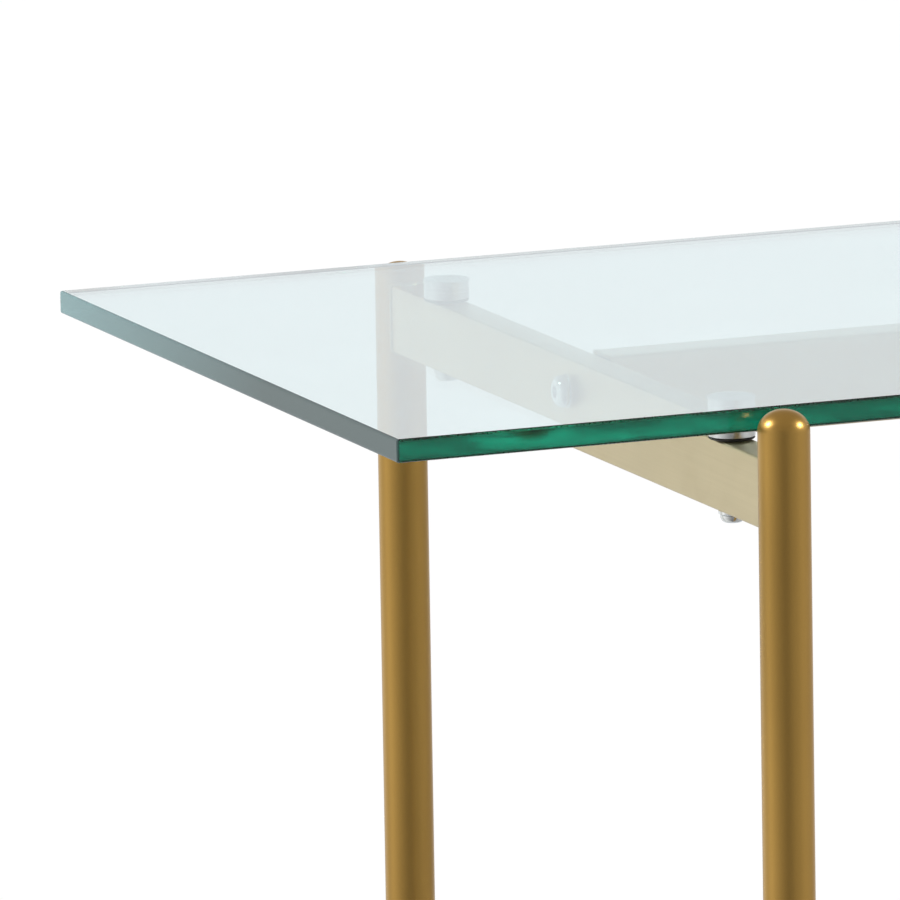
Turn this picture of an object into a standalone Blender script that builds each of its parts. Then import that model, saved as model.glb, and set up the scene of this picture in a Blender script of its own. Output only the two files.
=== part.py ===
"""A glass-topped dressing table on a bolted frame of round and rectangular tube.

Metres, +Z up. The origin is on the floor, under the middle of the glass. The long side lies along X and
the front is at -Y. Each pair of legs and the crossbar between them makes one end frame. A rail bolts the
two end frames together, and the glass is bonded to a puck over each end of each crossbar.
"""

import math

import bmesh
import bpy
from mathutils import Matrix, Vector

# Glass top
GLASS_LENGTH = 1.000
GLASS_DEPTH = 0.400
GLASS_THICKNESS = 0.010
GLASS_ARRIS = 0.0010  # width of the polished chamfer along every edge
TABLE_HEIGHT = 0.750  # floor to the upper face of the glass

# Fits
CONTACT_GAP = 0.0003  # left between faces that touch
THREAD_GAP = 0.0003  # radial, between a thread and its hole
BOLT_HOLE_GAP = 0.0005  # radial, between a shank and the plain hole that it passes through

# Legs: round tubes that stand just in front of and behind the glass
LEG_DIAMETER = 0.022
LEG_WALL = 0.0015
LEG_END_INSET = 0.166  # leg axis, in from the end of the glass
LEG_GLASS_GAP = 0.0045  # between the edge of the glass and the side of the leg
FRONT_DOME_RISE = 0.0015  # top of a front dome, above the upper face of the glass
REAR_DOME_DROP = 0.0025  # top of a rear dome, below the upper face of the glass
DOME_HEIGHT = 0.009
CAP_SPIGOT_LENGTH = 0.012

# Crossbars, under the glass from leg to leg
CROSSBAR_WIDTH = 0.015
CROSSBAR_HEIGHT = 0.030
CROSSBAR_WALL = 0.0015
CROSSBAR_CORNER = 0.0012
TUBE_INNER_CORNER = 0.0003  # least corner radius inside a rectangular tube
STANDOFF = 0.010  # from the top of the crossbar to the underside of the glass

# Rail, along the middle from crossbar to crossbar
RAIL_WIDTH = 0.020
RAIL_HEIGHT = 0.030
RAIL_WALL = 0.0015
RAIL_CORNER = 0.0012
RAIL_RISE = 0.0015  # top of the rail, above the top of the crossbars
END_PLATE_THICKNESS = 0.006

# Pucks that carry the glass
PUCK_DIAMETER = 0.020
PUCK_FLANGE_DIAMETER = 0.0208
PUCK_FLANGE_HEIGHT = 0.0008
PUCK_BORE_FLOOR = 0.0015  # metal left over the blind threaded hole
PUCK_EDGE_INSET = 0.040  # puck axis, in from the long edge of the glass
RUBBER_THICKNESS = 0.0008
RUBBER_DIAMETER = 0.0196

# Screws up through the crossbars into the pucks: thread, head, hexagon socket
SCREW_DIAMETER = 0.006
SCREW_HEAD_DIAMETER = 0.0105
SCREW_HEAD_HEIGHT = 0.0033
SCREW_SOCKET_WIDTH = 0.004
SCREW_SOCKET_DEPTH = 0.0021
SCREW_ENGAGEMENT = 0.0045  # length of thread inside the puck
SCREW_WASHER_DIAMETER = 0.012
SCREW_WASHER_THICKNESS = 0.0016

# Shared shape of both button heads and of every thread's tip
HEAD_RIM_SHARE = 0.2  # rim under the crown, as a share of the head's height
HEAD_FLAT_SHARE = 0.6  # flat top of the head, as a share of its diameter
TIP_CHAMFER_SHARE = 0.125  # chamfer at the tip, as a share of the thread's diameter
HEX_SIDES = 6

# Bolts through the crossbars into the ends of the rail
BOLT_DIAMETER = 0.008
BOLT_HEAD_DIAMETER = 0.014
BOLT_HEAD_HEIGHT = 0.0044
BOLT_SOCKET_WIDTH = 0.005
BOLT_SOCKET_DEPTH = 0.0026
BOLT_OVERRUN = 0.002  # thread showing past the end plate
SPRING_WASHER_DIAMETER = 0.0148
SPRING_WASHER_THICKNESS = 0.0020
SPRING_WASHER_SPLIT = 12.0  # degrees

# Levelling feet
PAD_DIAMETER = 0.024
PAD_HEIGHT = 0.007
PAD_EDGE_RADIUS = 0.0015
PAD_SOCKET_DEPTH = 0.003
STEM_DIAMETER = 0.008
STEM_HEX_WIDTH = 0.013
STEM_HEX_HEIGHT = 0.004
STEM_THREAD_LENGTH = 0.028
FOOT_CLEARANCE = 0.0010  # from the hexagon to the insert with the foot wound right in
INSERT_FLANGE_HEIGHT = 0.002
INSERT_PLUG_LENGTH = 0.022
INSERT_PLUG_GAP = 0.0003  # radial, inside the leg

# Fineness of round shapes
LEG_SEGMENTS = 32
HARDWARE_SEGMENTS = 20
DOME_RINGS = 5
HEAD_RINGS = 3
CORNER_STEPS = 2
WELD_DISTANCE = 1e-6
SHARP_ANGLE = math.radians(35.0)
CUTTER_MARGIN = 0.005  # how far a cutter reaches past what it cuts

# Worked out from the sizes above
GLASS_UNDERSIDE = TABLE_HEIGHT - GLASS_THICKNESS
CROSSBAR_TOP = GLASS_UNDERSIDE - STANDOFF
CROSSBAR_MIDDLE = CROSSBAR_TOP - CROSSBAR_HEIGHT / 2
CROSSBAR_UNDERSIDE = CROSSBAR_TOP - CROSSBAR_HEIGHT
LEG_RADIUS = LEG_DIAMETER / 2
LEG_BORE = LEG_RADIUS - LEG_WALL
LEG_X = GLASS_LENGTH / 2 - LEG_END_INSET
LEG_Y = GLASS_DEPTH / 2 + LEG_GLASS_GAP + LEG_RADIUS
LEG_TOPS = {
    "front": TABLE_HEIGHT + FRONT_DOME_RISE - DOME_HEIGHT,
    "rear": TABLE_HEIGHT - REAR_DOME_DROP - DOME_HEIGHT,
}
PUCK_Y = GLASS_DEPTH / 2 - PUCK_EDGE_INSET
RAIL_MIDDLE = CROSSBAR_TOP + RAIL_RISE - RAIL_HEIGHT / 2
RAIL_END = LEG_X - CROSSBAR_WIDTH / 2 - CONTACT_GAP
HEX_BASE = PAD_HEIGHT + CONTACT_GAP
INSERT_BASE = HEX_BASE + STEM_HEX_HEIGHT + FOOT_CLEARANCE
LEG_BASE = INSERT_BASE + INSERT_FLANGE_HEIGHT + CONTACT_GAP

SIDES = {"left": -1, "right": 1}
ROWS = {"front": -1, "rear": 1}


def clear_scene():
    for old in list(bpy.data.objects):
        bpy.data.objects.remove(old, do_unlink=True)


# Materials


def material(name, colour, roughness, metallic, transmission=0.0):
    made = bpy.data.materials.new(name)
    made.use_nodes = True
    shader = made.node_tree.nodes["Principled BSDF"]
    shader.inputs["Base Color"].default_value = (*colour, 1.0)
    shader.inputs["Roughness"].default_value = roughness
    shader.inputs["Metallic"].default_value = metallic
    shader.inputs["Transmission Weight"].default_value = transmission
    made.diffuse_color = (*colour, 1.0)
    return made


def make_materials():
    return {
        "glass": material("clear_glass", (0.80, 0.92, 0.89), 0.02, 0.0, 0.9),
        "leg": material("satin_gold_paint", (0.42, 0.27, 0.08), 0.35, 0.8),
        "bar": material("champagne_gold_plate", (0.64, 0.53, 0.33), 0.30, 0.8),
        "plate": material("dark_steel", (0.16, 0.17, 0.17), 0.45, 0.9),
        "puck": material("polished_steel", (0.78, 0.80, 0.80), 0.15, 1.0),
        "fastener": material("zinc_plated_steel", (0.70, 0.72, 0.72), 0.22, 1.0),
        "rubber": material("black_rubber", (0.02, 0.02, 0.02), 0.80, 0.0),
        "nylon": material("black_nylon", (0.03, 0.03, 0.03), 0.50, 0.0),
    }


# Mesh helpers


def finish_mesh(shape, name):
    """Cleans the bmesh, turns its faces outwards, shades it and returns it as a mesh."""
    bmesh.ops.remove_doubles(shape, verts=shape.verts, dist=WELD_DISTANCE)
    bmesh.ops.recalc_face_normals(shape, faces=shape.faces)
    mesh = bpy.data.meshes.new(name)
    shape.to_mesh(mesh)
    shape.free()
    mesh.shade_smooth()
    mesh.set_sharp_from_angle(angle=SHARP_ANGLE)
    return mesh


def turned(name, outline, segments, ring=False):
    """Turns an outline of (radius, height) points about Z. A ring's outline closes on itself."""
    shape = bmesh.new()
    points = [shape.verts.new((radius, 0.0, height)) for radius, height in outline]
    pairs = list(zip(points, points[1:]))
    if ring:
        pairs.append((points[-1], points[0]))
    edges = [shape.edges.new(pair) for pair in pairs]
    bmesh.ops.spin(
        shape,
        geom=points + edges,
        axis=(0, 0, 1),
        cent=(0, 0, 0),
        angle=math.tau,
        steps=segments,
        use_merge=True,
    )
    return finish_mesh(shape, name)


def quarter_arc(start, end, steps):
    """Points on a quarter ellipse that leaves start along the height and reaches end along the radius."""
    points = []
    for step in range(steps + 1):
        turn = math.pi / 2 * step / steps
        radius = end[0] + (start[0] - end[0]) * math.cos(turn)
        height = start[1] + (end[1] - start[1]) * math.sin(turn)
        points.append((radius, height))
    return points


def rounded_rectangle(width, height, corner):
    """Corner points of a rectangle with round corners, in order round the middle."""
    points = []
    for quarter, (side_x, side_z) in enumerate(((1, 1), (-1, 1), (-1, -1), (1, -1))):
        middle_x = side_x * (width / 2 - corner)
        middle_z = side_z * (height / 2 - corner)
        for step in range(CORNER_STEPS + 1):
            turn = math.pi / 2 * (quarter + step / CORNER_STEPS)
            points.append((middle_x + corner * math.cos(turn), middle_z + corner * math.sin(turn)))
    return points


def swept(name, rings, closed):
    """Joins each ring of points to the next, then joins the last to the first or puts a face on each end."""
    shape = bmesh.new()
    loops = [[shape.verts.new(point) for point in ring] for ring in rings]
    pairs = list(zip(loops, loops[1:]))
    if closed:
        pairs.append((loops[-1], loops[0]))
    else:
        shape.faces.new(loops[0])
        shape.faces.new(loops[-1])
    for loop, following in pairs:
        for i in range(len(loop)):
            shape.faces.new((loop[i - 1], loop[i], following[i], following[i - 1]))
    return finish_mesh(shape, name)


def box_tube(name, width, height, wall, corner, length):
    """A rectangular tube along Y, centred, open at both ends."""
    inner_corner = max(corner - wall, TUBE_INNER_CORNER)
    outer = rounded_rectangle(width, height, corner)
    inner = rounded_rectangle(width - 2 * wall, height - 2 * wall, inner_corner)
    end = length / 2
    rings = []
    for (outer_x, outer_z), (inner_x, inner_z) in zip(outer, inner):
        outside = [(outer_x, -end, outer_z), (outer_x, end, outer_z)]
        inside = [(inner_x, end, inner_z), (inner_x, -end, inner_z)]
        rings.append(outside + inside)
    return swept(name, rings, closed=True)


def add_cylinder(shape, radius, length, matrix, segments):
    bmesh.ops.create_cone(
        shape,
        cap_ends=True,
        segments=segments,
        radius1=radius,
        radius2=radius,
        depth=length,
        matrix=matrix,
    )


def bolt_mesh(name, thread, head, head_height, shank_length):
    """A button-head bolt: the head's seat is at zero height, the head above it and the shank below."""
    rim = head_height * HEAD_RIM_SHARE
    tip = thread * TIP_CHAMFER_SHARE
    crown = quarter_arc((head / 2, rim), (head / 2 * HEAD_FLAT_SHARE, head_height), HEAD_RINGS)
    outline = [(0.0, head_height)] + crown[::-1] + [
        (head / 2 - rim / 2, 0.0),
        (thread / 2, 0.0),
        (thread / 2, tip - shank_length),
        (thread / 2 - tip, -shank_length),
        (0.0, -shank_length),
    ]
    return turned(name, outline, HARDWARE_SEGMENTS)


def socket_cutter_mesh(name, width, depth, head_height):
    """A hexagonal punch that leaves a socket of this width across flats in the top of a head."""
    shape = bmesh.new()
    length = depth + CUTTER_MARGIN
    across_corners = width / math.cos(math.pi / HEX_SIDES)
    middle = Matrix.Translation((0, 0, head_height - depth + length / 2))
    add_cylinder(shape, across_corners / 2, length, middle, HEX_SIDES)
    return finish_mesh(shape, name)


def washer_mesh(name, inner, outer, thickness):
    """A plain washer that stands on zero height."""
    outline = ((inner / 2, 0.0), (outer / 2, 0.0), (outer / 2, thickness), (inner / 2, thickness))
    return turned(name, outline, HARDWARE_SEGMENTS, ring=True)


def split_washer_mesh(name, inner, outer, thickness, split):
    """A spring washer pressed flat, with its split at +Y."""
    corners = ((inner / 2, 0.0), (outer / 2, 0.0), (outer / 2, thickness), (inner / 2, thickness))
    start = math.pi / 2 + math.radians(split) / 2
    sweep = math.tau - math.radians(split)
    rings = []
    for step in range(HARDWARE_SEGMENTS + 1):
        turn = start + sweep * step / HARDWARE_SEGMENTS
        rings.append([(radius * math.cos(turn), radius * math.sin(turn), z) for radius, z in corners])
    return swept(name, rings, closed=False)


# Objects


def place(name, mesh, look, parent, location=(0, 0, 0), rotation=(0, 0, 0)):
    """A named object of this mesh, in this material, at this place under its parent."""
    made = bpy.data.objects.new(name, mesh)
    bpy.context.scene.collection.objects.link(made)
    if look is not None and not mesh.materials:
        mesh.materials.append(look)
    made.parent = parent
    made.location = location
    made.rotation_euler = rotation
    return made


def empty(name, location, parent=None):
    made = bpy.data.objects.new(name, None)
    bpy.context.scene.collection.objects.link(made)
    made.parent = parent
    made.location = location
    return made


def cut(target, name, mesh):
    """Cuts the target with a hidden copy of this mesh that shares the target's place."""
    cutter = place(name, mesh, None, target)
    cutter.hide_render = True
    cutter.display_type = "WIRE"
    boolean = target.modifiers.new(name, "BOOLEAN")
    boolean.operation = "DIFFERENCE"
    boolean.solver = "EXACT"
    boolean.object = cutter
    return cutter


# Sub-parts


def make_glass(looks, table):
    shape = bmesh.new()
    size = Matrix.Diagonal((GLASS_LENGTH, GLASS_DEPTH, GLASS_THICKNESS, 1.0))
    bmesh.ops.create_cube(shape, size=1.0, matrix=size)
    bmesh.ops.bevel(
        shape,
        geom=shape.edges[:],
        offset=GLASS_ARRIS,
        offset_type="OFFSET",
        segments=1,
        affect="EDGES",
    )
    mesh = finish_mesh(shape, "glass_top")
    mesh.shade_flat()
    place("glass_top", mesh, looks["glass"], table, (0, 0, TABLE_HEIGHT - GLASS_THICKNESS / 2))


def leg_mesh(row):
    top = LEG_TOPS[row]
    outline = ((LEG_BORE, LEG_BASE), (LEG_RADIUS, LEG_BASE), (LEG_RADIUS, top), (LEG_BORE, top))
    return turned(f"leg_{row}", outline, LEG_SEGMENTS, ring=True)


def leg_cap_mesh():
    """The dome and its spigot. Zero height is the shoulder that rests on the tube."""
    spigot = LEG_BORE - CONTACT_GAP
    dome = quarter_arc((LEG_RADIUS, CONTACT_GAP), (0.0, DOME_HEIGHT), DOME_RINGS)
    outline = [(0.0, -CAP_SPIGOT_LENGTH), (spigot, -CAP_SPIGOT_LENGTH), (spigot, CONTACT_GAP)] + dome
    return turned("leg_cap", outline, LEG_SEGMENTS)


def make_legs(looks, corners):
    tubes = {row: leg_mesh(row) for row in ROWS}
    cap = leg_cap_mesh()
    for corner, holder in corners.items():
        row = corner.split("_")[0]
        place(f"leg_{corner}", tubes[row], looks["leg"], holder)
        place(f"leg_cap_{corner}", cap, looks["leg"], holder, (0, 0, LEG_TOPS[row]))


def crossbar_cutter_mesh():
    """Two legs to fit against, four screw holes and one bolt hole."""
    shape = bmesh.new()
    tall = CROSSBAR_HEIGHT + 2 * CUTTER_MARGIN
    wide = CROSSBAR_WIDTH + 2 * CUTTER_MARGIN
    for row in ROWS.values():
        at_leg = Matrix.Translation((0, row * LEG_Y, 0))
        add_cylinder(shape, LEG_RADIUS + CONTACT_GAP, tall, at_leg, LEG_SEGMENTS)
        at_puck = Matrix.Translation((0, row * PUCK_Y, 0))
        add_cylinder(shape, SCREW_DIAMETER / 2 + BOLT_HOLE_GAP, tall, at_puck, HARDWARE_SEGMENTS)
    at_bolt = Matrix.Translation((0, 0, RAIL_MIDDLE - CROSSBAR_MIDDLE)) @ Matrix.Rotation(math.pi / 2, 4, "Y")
    add_cylinder(shape, BOLT_DIAMETER / 2 + BOLT_HOLE_GAP, wide, at_bolt, HARDWARE_SEGMENTS)
    return finish_mesh(shape, "crossbar_cutter")


def make_crossbars(looks, ends):
    tube = box_tube("crossbar", CROSSBAR_WIDTH, CROSSBAR_HEIGHT, CROSSBAR_WALL, CROSSBAR_CORNER, 2 * LEG_Y)
    cutter = crossbar_cutter_mesh()
    for side, holder in ends.items():
        bar = place(f"crossbar_{side}", tube, looks["bar"], holder, (0, 0, CROSSBAR_MIDDLE))
        cut(bar, f"crossbar_{side}_cutter", cutter)


def make_rail(looks, table):
    tube = box_tube("rail", RAIL_WIDTH, RAIL_HEIGHT, RAIL_WALL, RAIL_CORNER, 2 * RAIL_END)
    place("centre_rail", tube, looks["bar"], table, (0, 0, RAIL_MIDDLE), (0, 0, math.pi / 2))


def end_plate_mesh():
    """A block that fills the end of the rail, with a threaded hole. Its outer face is at zero along Z."""
    shape = bmesh.new()
    width = RAIL_WIDTH - 2 * (RAIL_WALL + CONTACT_GAP)
    height = RAIL_HEIGHT - 2 * (RAIL_WALL + CONTACT_GAP)
    size = Matrix.Diagonal((height, width, END_PLATE_THICKNESS, 1.0))
    middle = Matrix.Translation((0, 0, -END_PLATE_THICKNESS / 2))
    bmesh.ops.create_cube(shape, size=1.0, matrix=middle @ size)
    upright = [edge for edge in shape.edges if edge.verts[0].co.xy == edge.verts[1].co.xy]
    bmesh.ops.bevel(shape, geom=upright, offset=RAIL_CORNER, offset_type="OFFSET", segments=1, affect="EDGES")
    return finish_mesh(shape, "rail_end_plate")


def make_rail_ends(looks, table):
    """The threaded plates in the rail, and the bolts and spring washers that hold it to the crossbars."""
    plate = end_plate_mesh()
    hole = bmesh.new()
    bore = BOLT_DIAMETER / 2 + THREAD_GAP
    add_cylinder(hole, bore, 2 * (END_PLATE_THICKNESS + CUTTER_MARGIN), Matrix(), HARDWARE_SEGMENTS)
    hole_mesh = finish_mesh(hole, "rail_end_plate_cutter")
    washer = split_washer_mesh(
        "spring_washer",
        BOLT_DIAMETER + 2 * THREAD_GAP,
        SPRING_WASHER_DIAMETER,
        SPRING_WASHER_THICKNESS,
        SPRING_WASHER_SPLIT,
    )
    seat = SPRING_WASHER_THICKNESS + 2 * CONTACT_GAP
    grip = seat + CROSSBAR_WIDTH + CONTACT_GAP + END_PLATE_THICKNESS
    bolt = bolt_mesh("rail_bolt", BOLT_DIAMETER, BOLT_HEAD_DIAMETER, BOLT_HEAD_HEIGHT, grip + BOLT_OVERRUN)
    socket = socket_cutter_mesh("rail_bolt_cutter", BOLT_SOCKET_WIDTH, BOLT_SOCKET_DEPTH, BOLT_HEAD_HEIGHT)
    for side, sign in SIDES.items():
        outwards = (0, sign * math.pi / 2, 0)
        at_plate = (sign * RAIL_END, 0, RAIL_MIDDLE)
        end_plate = place(f"rail_end_plate_{side}", plate, looks["plate"], table, at_plate, outwards)
        cut(end_plate, f"rail_end_plate_{side}_cutter", hole_mesh)
        outer_face = LEG_X + CROSSBAR_WIDTH / 2
        at_washer = (sign * (outer_face + CONTACT_GAP), 0, RAIL_MIDDLE)
        # The split points up: local +Y is turned to world +Z.
        split_up = (math.pi / 2, 0, sign * math.pi / 2)
        place(f"spring_washer_{side}", washer, looks["fastener"], table, at_washer, split_up)
        at_head = (sign * (outer_face + seat), 0, RAIL_MIDDLE)
        screw = place(f"rail_bolt_{side}", bolt, looks["fastener"], table, at_head, outwards)
        cut(screw, f"rail_bolt_{side}_cutter", socket)


def puck_mesh(height):
    """A turned puck with a flange under the glass and a blind threaded hole from below."""
    bore = SCREW_DIAMETER / 2 + THREAD_GAP
    outline = (
        (0.0, height - PUCK_BORE_FLOOR),
        (bore, height - PUCK_BORE_FLOOR),
        (bore, 0.0),
        (PUCK_DIAMETER / 2, 0.0),
        (PUCK_DIAMETER / 2, height - PUCK_FLANGE_HEIGHT),
        (PUCK_FLANGE_DIAMETER / 2, height - PUCK_FLANGE_HEIGHT),
        (PUCK_FLANGE_DIAMETER / 2, height),
        (0.0, height),
    )
    return turned("glass_puck", outline, HARDWARE_SEGMENTS)


def make_glass_supports(looks, ends):
    """Over and under each end of each crossbar: puck, rubber washer, plain washer and screw."""
    puck_base = CROSSBAR_TOP + 2 * CONTACT_GAP + RUBBER_THICKNESS
    puck = puck_mesh(GLASS_UNDERSIDE - CONTACT_GAP - puck_base)
    rubber_hole = SCREW_DIAMETER + 2 * BOLT_HOLE_GAP
    rubber = washer_mesh("rubber_washer", rubber_hole, RUBBER_DIAMETER, RUBBER_THICKNESS)
    washer = washer_mesh(
        "screw_washer", SCREW_DIAMETER + 2 * THREAD_GAP, SCREW_WASHER_DIAMETER, SCREW_WASHER_THICKNESS
    )
    washer_base = CROSSBAR_UNDERSIDE - CONTACT_GAP - SCREW_WASHER_THICKNESS
    seat = washer_base - CONTACT_GAP
    shank = puck_base + SCREW_ENGAGEMENT - seat
    screw = bolt_mesh("puck_screw", SCREW_DIAMETER, SCREW_HEAD_DIAMETER, SCREW_HEAD_HEIGHT, shank)
    socket = socket_cutter_mesh(
        "puck_screw_cutter", SCREW_SOCKET_WIDTH, SCREW_SOCKET_DEPTH, SCREW_HEAD_HEIGHT
    )
    for side, holder in ends.items():
        for row, sign in ROWS.items():
            corner = f"{row}_{side}"
            y = sign * PUCK_Y
            place(f"glass_puck_{corner}", puck, looks["puck"], holder, (0, y, puck_base))
            at_rubber = (0, y, CROSSBAR_TOP + CONTACT_GAP)
            place(f"rubber_washer_{corner}", rubber, looks["rubber"], holder, at_rubber)
            place(f"screw_washer_{corner}", washer, looks["fastener"], holder, (0, y, washer_base))
            upside_down = (math.pi, 0, 0)
            made = place(f"puck_screw_{corner}", screw, looks["fastener"], holder, (0, y, seat), upside_down)
            cut(made, f"puck_screw_{corner}_cutter", socket)


def insert_mesh():
    """The threaded plug in the foot of a leg, with a flange under the end of the tube."""
    bore = STEM_DIAMETER / 2 + THREAD_GAP
    plug = LEG_BORE - INSERT_PLUG_GAP
    flange_top = INSERT_BASE + INSERT_FLANGE_HEIGHT
    plug_top = flange_top + INSERT_PLUG_LENGTH
    outline = (
        (bore, INSERT_BASE),
        (LEG_RADIUS, INSERT_BASE),
        (LEG_RADIUS, flange_top),
        (plug, flange_top),
        (plug, plug_top),
        (bore, plug_top),
    )
    return turned("leg_insert", outline, LEG_SEGMENTS, ring=True)


def pad_mesh():
    """The pad on the floor, with a socket for the foot of the stem."""
    socket = STEM_DIAMETER / 2 + CONTACT_GAP
    radius = PAD_DIAMETER / 2
    edge_start = (radius, PAD_HEIGHT - PAD_EDGE_RADIUS)
    edge_end = (radius - PAD_EDGE_RADIUS, PAD_HEIGHT)
    outline = [(0.0, 0.0), (radius, 0.0)] + quarter_arc(edge_start, edge_end, CORNER_STEPS)
    socket_floor = PAD_HEIGHT - PAD_SOCKET_DEPTH
    outline += [(socket, PAD_HEIGHT), (socket, socket_floor), (0.0, socket_floor)]
    return turned("foot_pad", outline, HARDWARE_SEGMENTS)


def stem_hexagon_mesh():
    """The hexagon of a stem, which takes a spanner."""
    shape = bmesh.new()
    across_corners = STEM_HEX_WIDTH / math.cos(math.pi / HEX_SIDES)
    middle = Matrix.Translation((0, 0, HEX_BASE + STEM_HEX_HEIGHT / 2))
    add_cylinder(shape, across_corners / 2, STEM_HEX_HEIGHT, middle, HEX_SIDES)
    return finish_mesh(shape, "foot_stem")


def stem_rod_mesh():
    """The round of a stem: its lower end turns in the pad, and its thread runs up into the insert."""
    foot = PAD_HEIGHT - PAD_SOCKET_DEPTH + CONTACT_GAP
    tip = HEX_BASE + STEM_HEX_HEIGHT + STEM_THREAD_LENGTH
    chamfer = STEM_DIAMETER * TIP_CHAMFER_SHARE
    outline = (
        (0.0, foot),
        (STEM_DIAMETER / 2, foot),
        (STEM_DIAMETER / 2, tip - chamfer),
        (STEM_DIAMETER / 2 - chamfer, tip),
        (0.0, tip),
    )
    return turned("foot_stem_rod", outline, HARDWARE_SEGMENTS)


def make_feet(looks, corners):
    insert = insert_mesh()
    pad = pad_mesh()
    hexagon = stem_hexagon_mesh()
    rod = stem_rod_mesh()
    for corner, holder in corners.items():
        place(f"leg_insert_{corner}", insert, looks["nylon"], holder)
        place(f"foot_pad_{corner}", pad, looks["nylon"], holder)
        made = place(f"foot_stem_{corner}", hexagon, looks["fastener"], holder)
        rod_guide = place(f"foot_stem_{corner}_rod", rod, None, made)
        rod_guide.hide_render = True
        rod_guide.display_type = "WIRE"
        union = made.modifiers.new("rod", "BOOLEAN")
        union.operation = "UNION"
        union.solver = "EXACT"
        union.object = rod_guide


def main():
    clear_scene()
    looks = make_materials()
    table = empty("table", (0, 0, 0))
    ends = {side: empty(f"end_frame_{side}", (sign * LEG_X, 0, 0), table) for side, sign in SIDES.items()}
    corners = {}
    for side, holder in ends.items():
        for row, sign in ROWS.items():
            corner = f"{row}_{side}"
            corners[corner] = empty(f"corner_{corner}", (0, sign * LEG_Y, 0), holder)
    make_glass(looks, table)
    make_legs(looks, corners)
    make_crossbars(looks, ends)
    make_rail(looks, table)
    make_rail_ends(looks, table)
    make_glass_supports(looks, ends)
    make_feet(looks, corners)


main()
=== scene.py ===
"""Finished surfaces for a glass-topped dressing table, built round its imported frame.

Metres, +Z up, in the frame's own coordinates: the long side along X, the front at -Y, the floor at zero.
Run as a script it registers its panel and operators, runs each operator once and leaves the finished table
on its stage.
"""

import math

import bmesh
import bpy
from bpy.props import FloatProperty, FloatVectorProperty, IntProperty, PointerProperty
from mathutils import Matrix, Vector


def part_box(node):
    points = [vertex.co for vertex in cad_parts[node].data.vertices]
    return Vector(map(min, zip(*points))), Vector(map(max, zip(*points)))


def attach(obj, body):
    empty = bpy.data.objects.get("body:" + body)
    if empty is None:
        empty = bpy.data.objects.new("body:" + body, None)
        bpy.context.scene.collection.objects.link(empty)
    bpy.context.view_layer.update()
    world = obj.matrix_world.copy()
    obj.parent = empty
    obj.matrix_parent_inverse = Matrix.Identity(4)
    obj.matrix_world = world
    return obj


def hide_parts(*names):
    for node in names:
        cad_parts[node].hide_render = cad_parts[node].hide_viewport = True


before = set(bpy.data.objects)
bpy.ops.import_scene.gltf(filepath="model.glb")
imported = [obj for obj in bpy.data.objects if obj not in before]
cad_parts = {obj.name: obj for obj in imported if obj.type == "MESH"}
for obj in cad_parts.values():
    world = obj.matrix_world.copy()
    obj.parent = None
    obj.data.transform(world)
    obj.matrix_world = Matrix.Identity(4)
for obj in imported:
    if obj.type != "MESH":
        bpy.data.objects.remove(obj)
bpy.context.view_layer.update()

bl_info = {
    "name": "Dressing Table Finish",
    "version": (1, 0, 0),
    "blender": (4, 5, 0),
    "location": "View3D > Sidebar > Table",
    "description": "Builds the glass, tubes, fittings and stage of a dressing table",
    "category": "Object",
}

BODY = "frame"
SIDES = {"left": -1, "right": 1}
ROWS = {"front": -1, "rear": 1}
CORNERS = [f"{row}_{side}" for side in SIDES for row in ROWS]

MERGE_DISTANCE = 1e-6
POLE_RADIUS = 1e-9
SHARP_ANGLE = math.radians(32.0)
# The least corner radius inside a tube, as a share of its wall.
LEAST_INNER_CORNER = 0.2
HEX_SIDES = 6
TURNING_MAP = "turning"
WHITE = (1.0, 1.0, 1.0)
FACE_SLOT, LONG_EDGE_SLOT, END_EDGE_SLOT, ARRIS_SLOT = range(4)


# Places and sizes, read from the frame


def middle(node):
    low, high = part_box(node)
    return (low + high) / 2


def extent(node):
    low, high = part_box(node)
    return high - low


GLASS_LOW, GLASS_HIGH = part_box("glass_top")
GLASS_SIZE = GLASS_HIGH - GLASS_LOW
GLASS_MIDDLE = (GLASS_LOW + GLASS_HIGH) / 2
LEG_AT = {corner: middle(f"leg_{corner}") for corner in CORNERS}
LEG_RADIUS = extent("leg_front_left").x / 2
LEG_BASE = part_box("leg_front_left")[0].z
CROSSBAR_SIZE = extent("crossbar_left")
CROSSBAR_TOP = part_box("crossbar_left")[1].z
CROSSBAR_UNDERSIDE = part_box("crossbar_left")[0].z
RAIL_SIZE = extent("centre_rail")
PUCK_AT = middle("glass_puck_rear_right")
BOLT_LOW, BOLT_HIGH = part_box("rail_bolt_right")

# Painted light makes the end edges paler toward the rear: in front of a line just before the middle
# they keep only a share of its full strength.
PAINTED_LIGHT_START = GLASS_MIDDLE.y - 0.05
PAINTED_FRONT_SHADE = 0.25


# Settings


def colour_field(name, description, default):
    return FloatVectorProperty(
        name=name, description=description, default=default, subtype="COLOR", min=0.0, max=1.0
    )


def length_field(name, description, default, least=0.0):
    return FloatProperty(name=name, description=description, default=default, min=least, unit="LENGTH")


def count_field(name, description, default, least=1):
    return IntProperty(name=name, description=description, default=default, min=least)


def amount_field(name, description, default, least=0.0, **more):
    return FloatProperty(name=name, description=description, default=default, min=least, **more)


def angle_field(name, description, degrees):
    return FloatProperty(name=name, description=description, default=math.radians(degrees), subtype="ANGLE")


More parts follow.
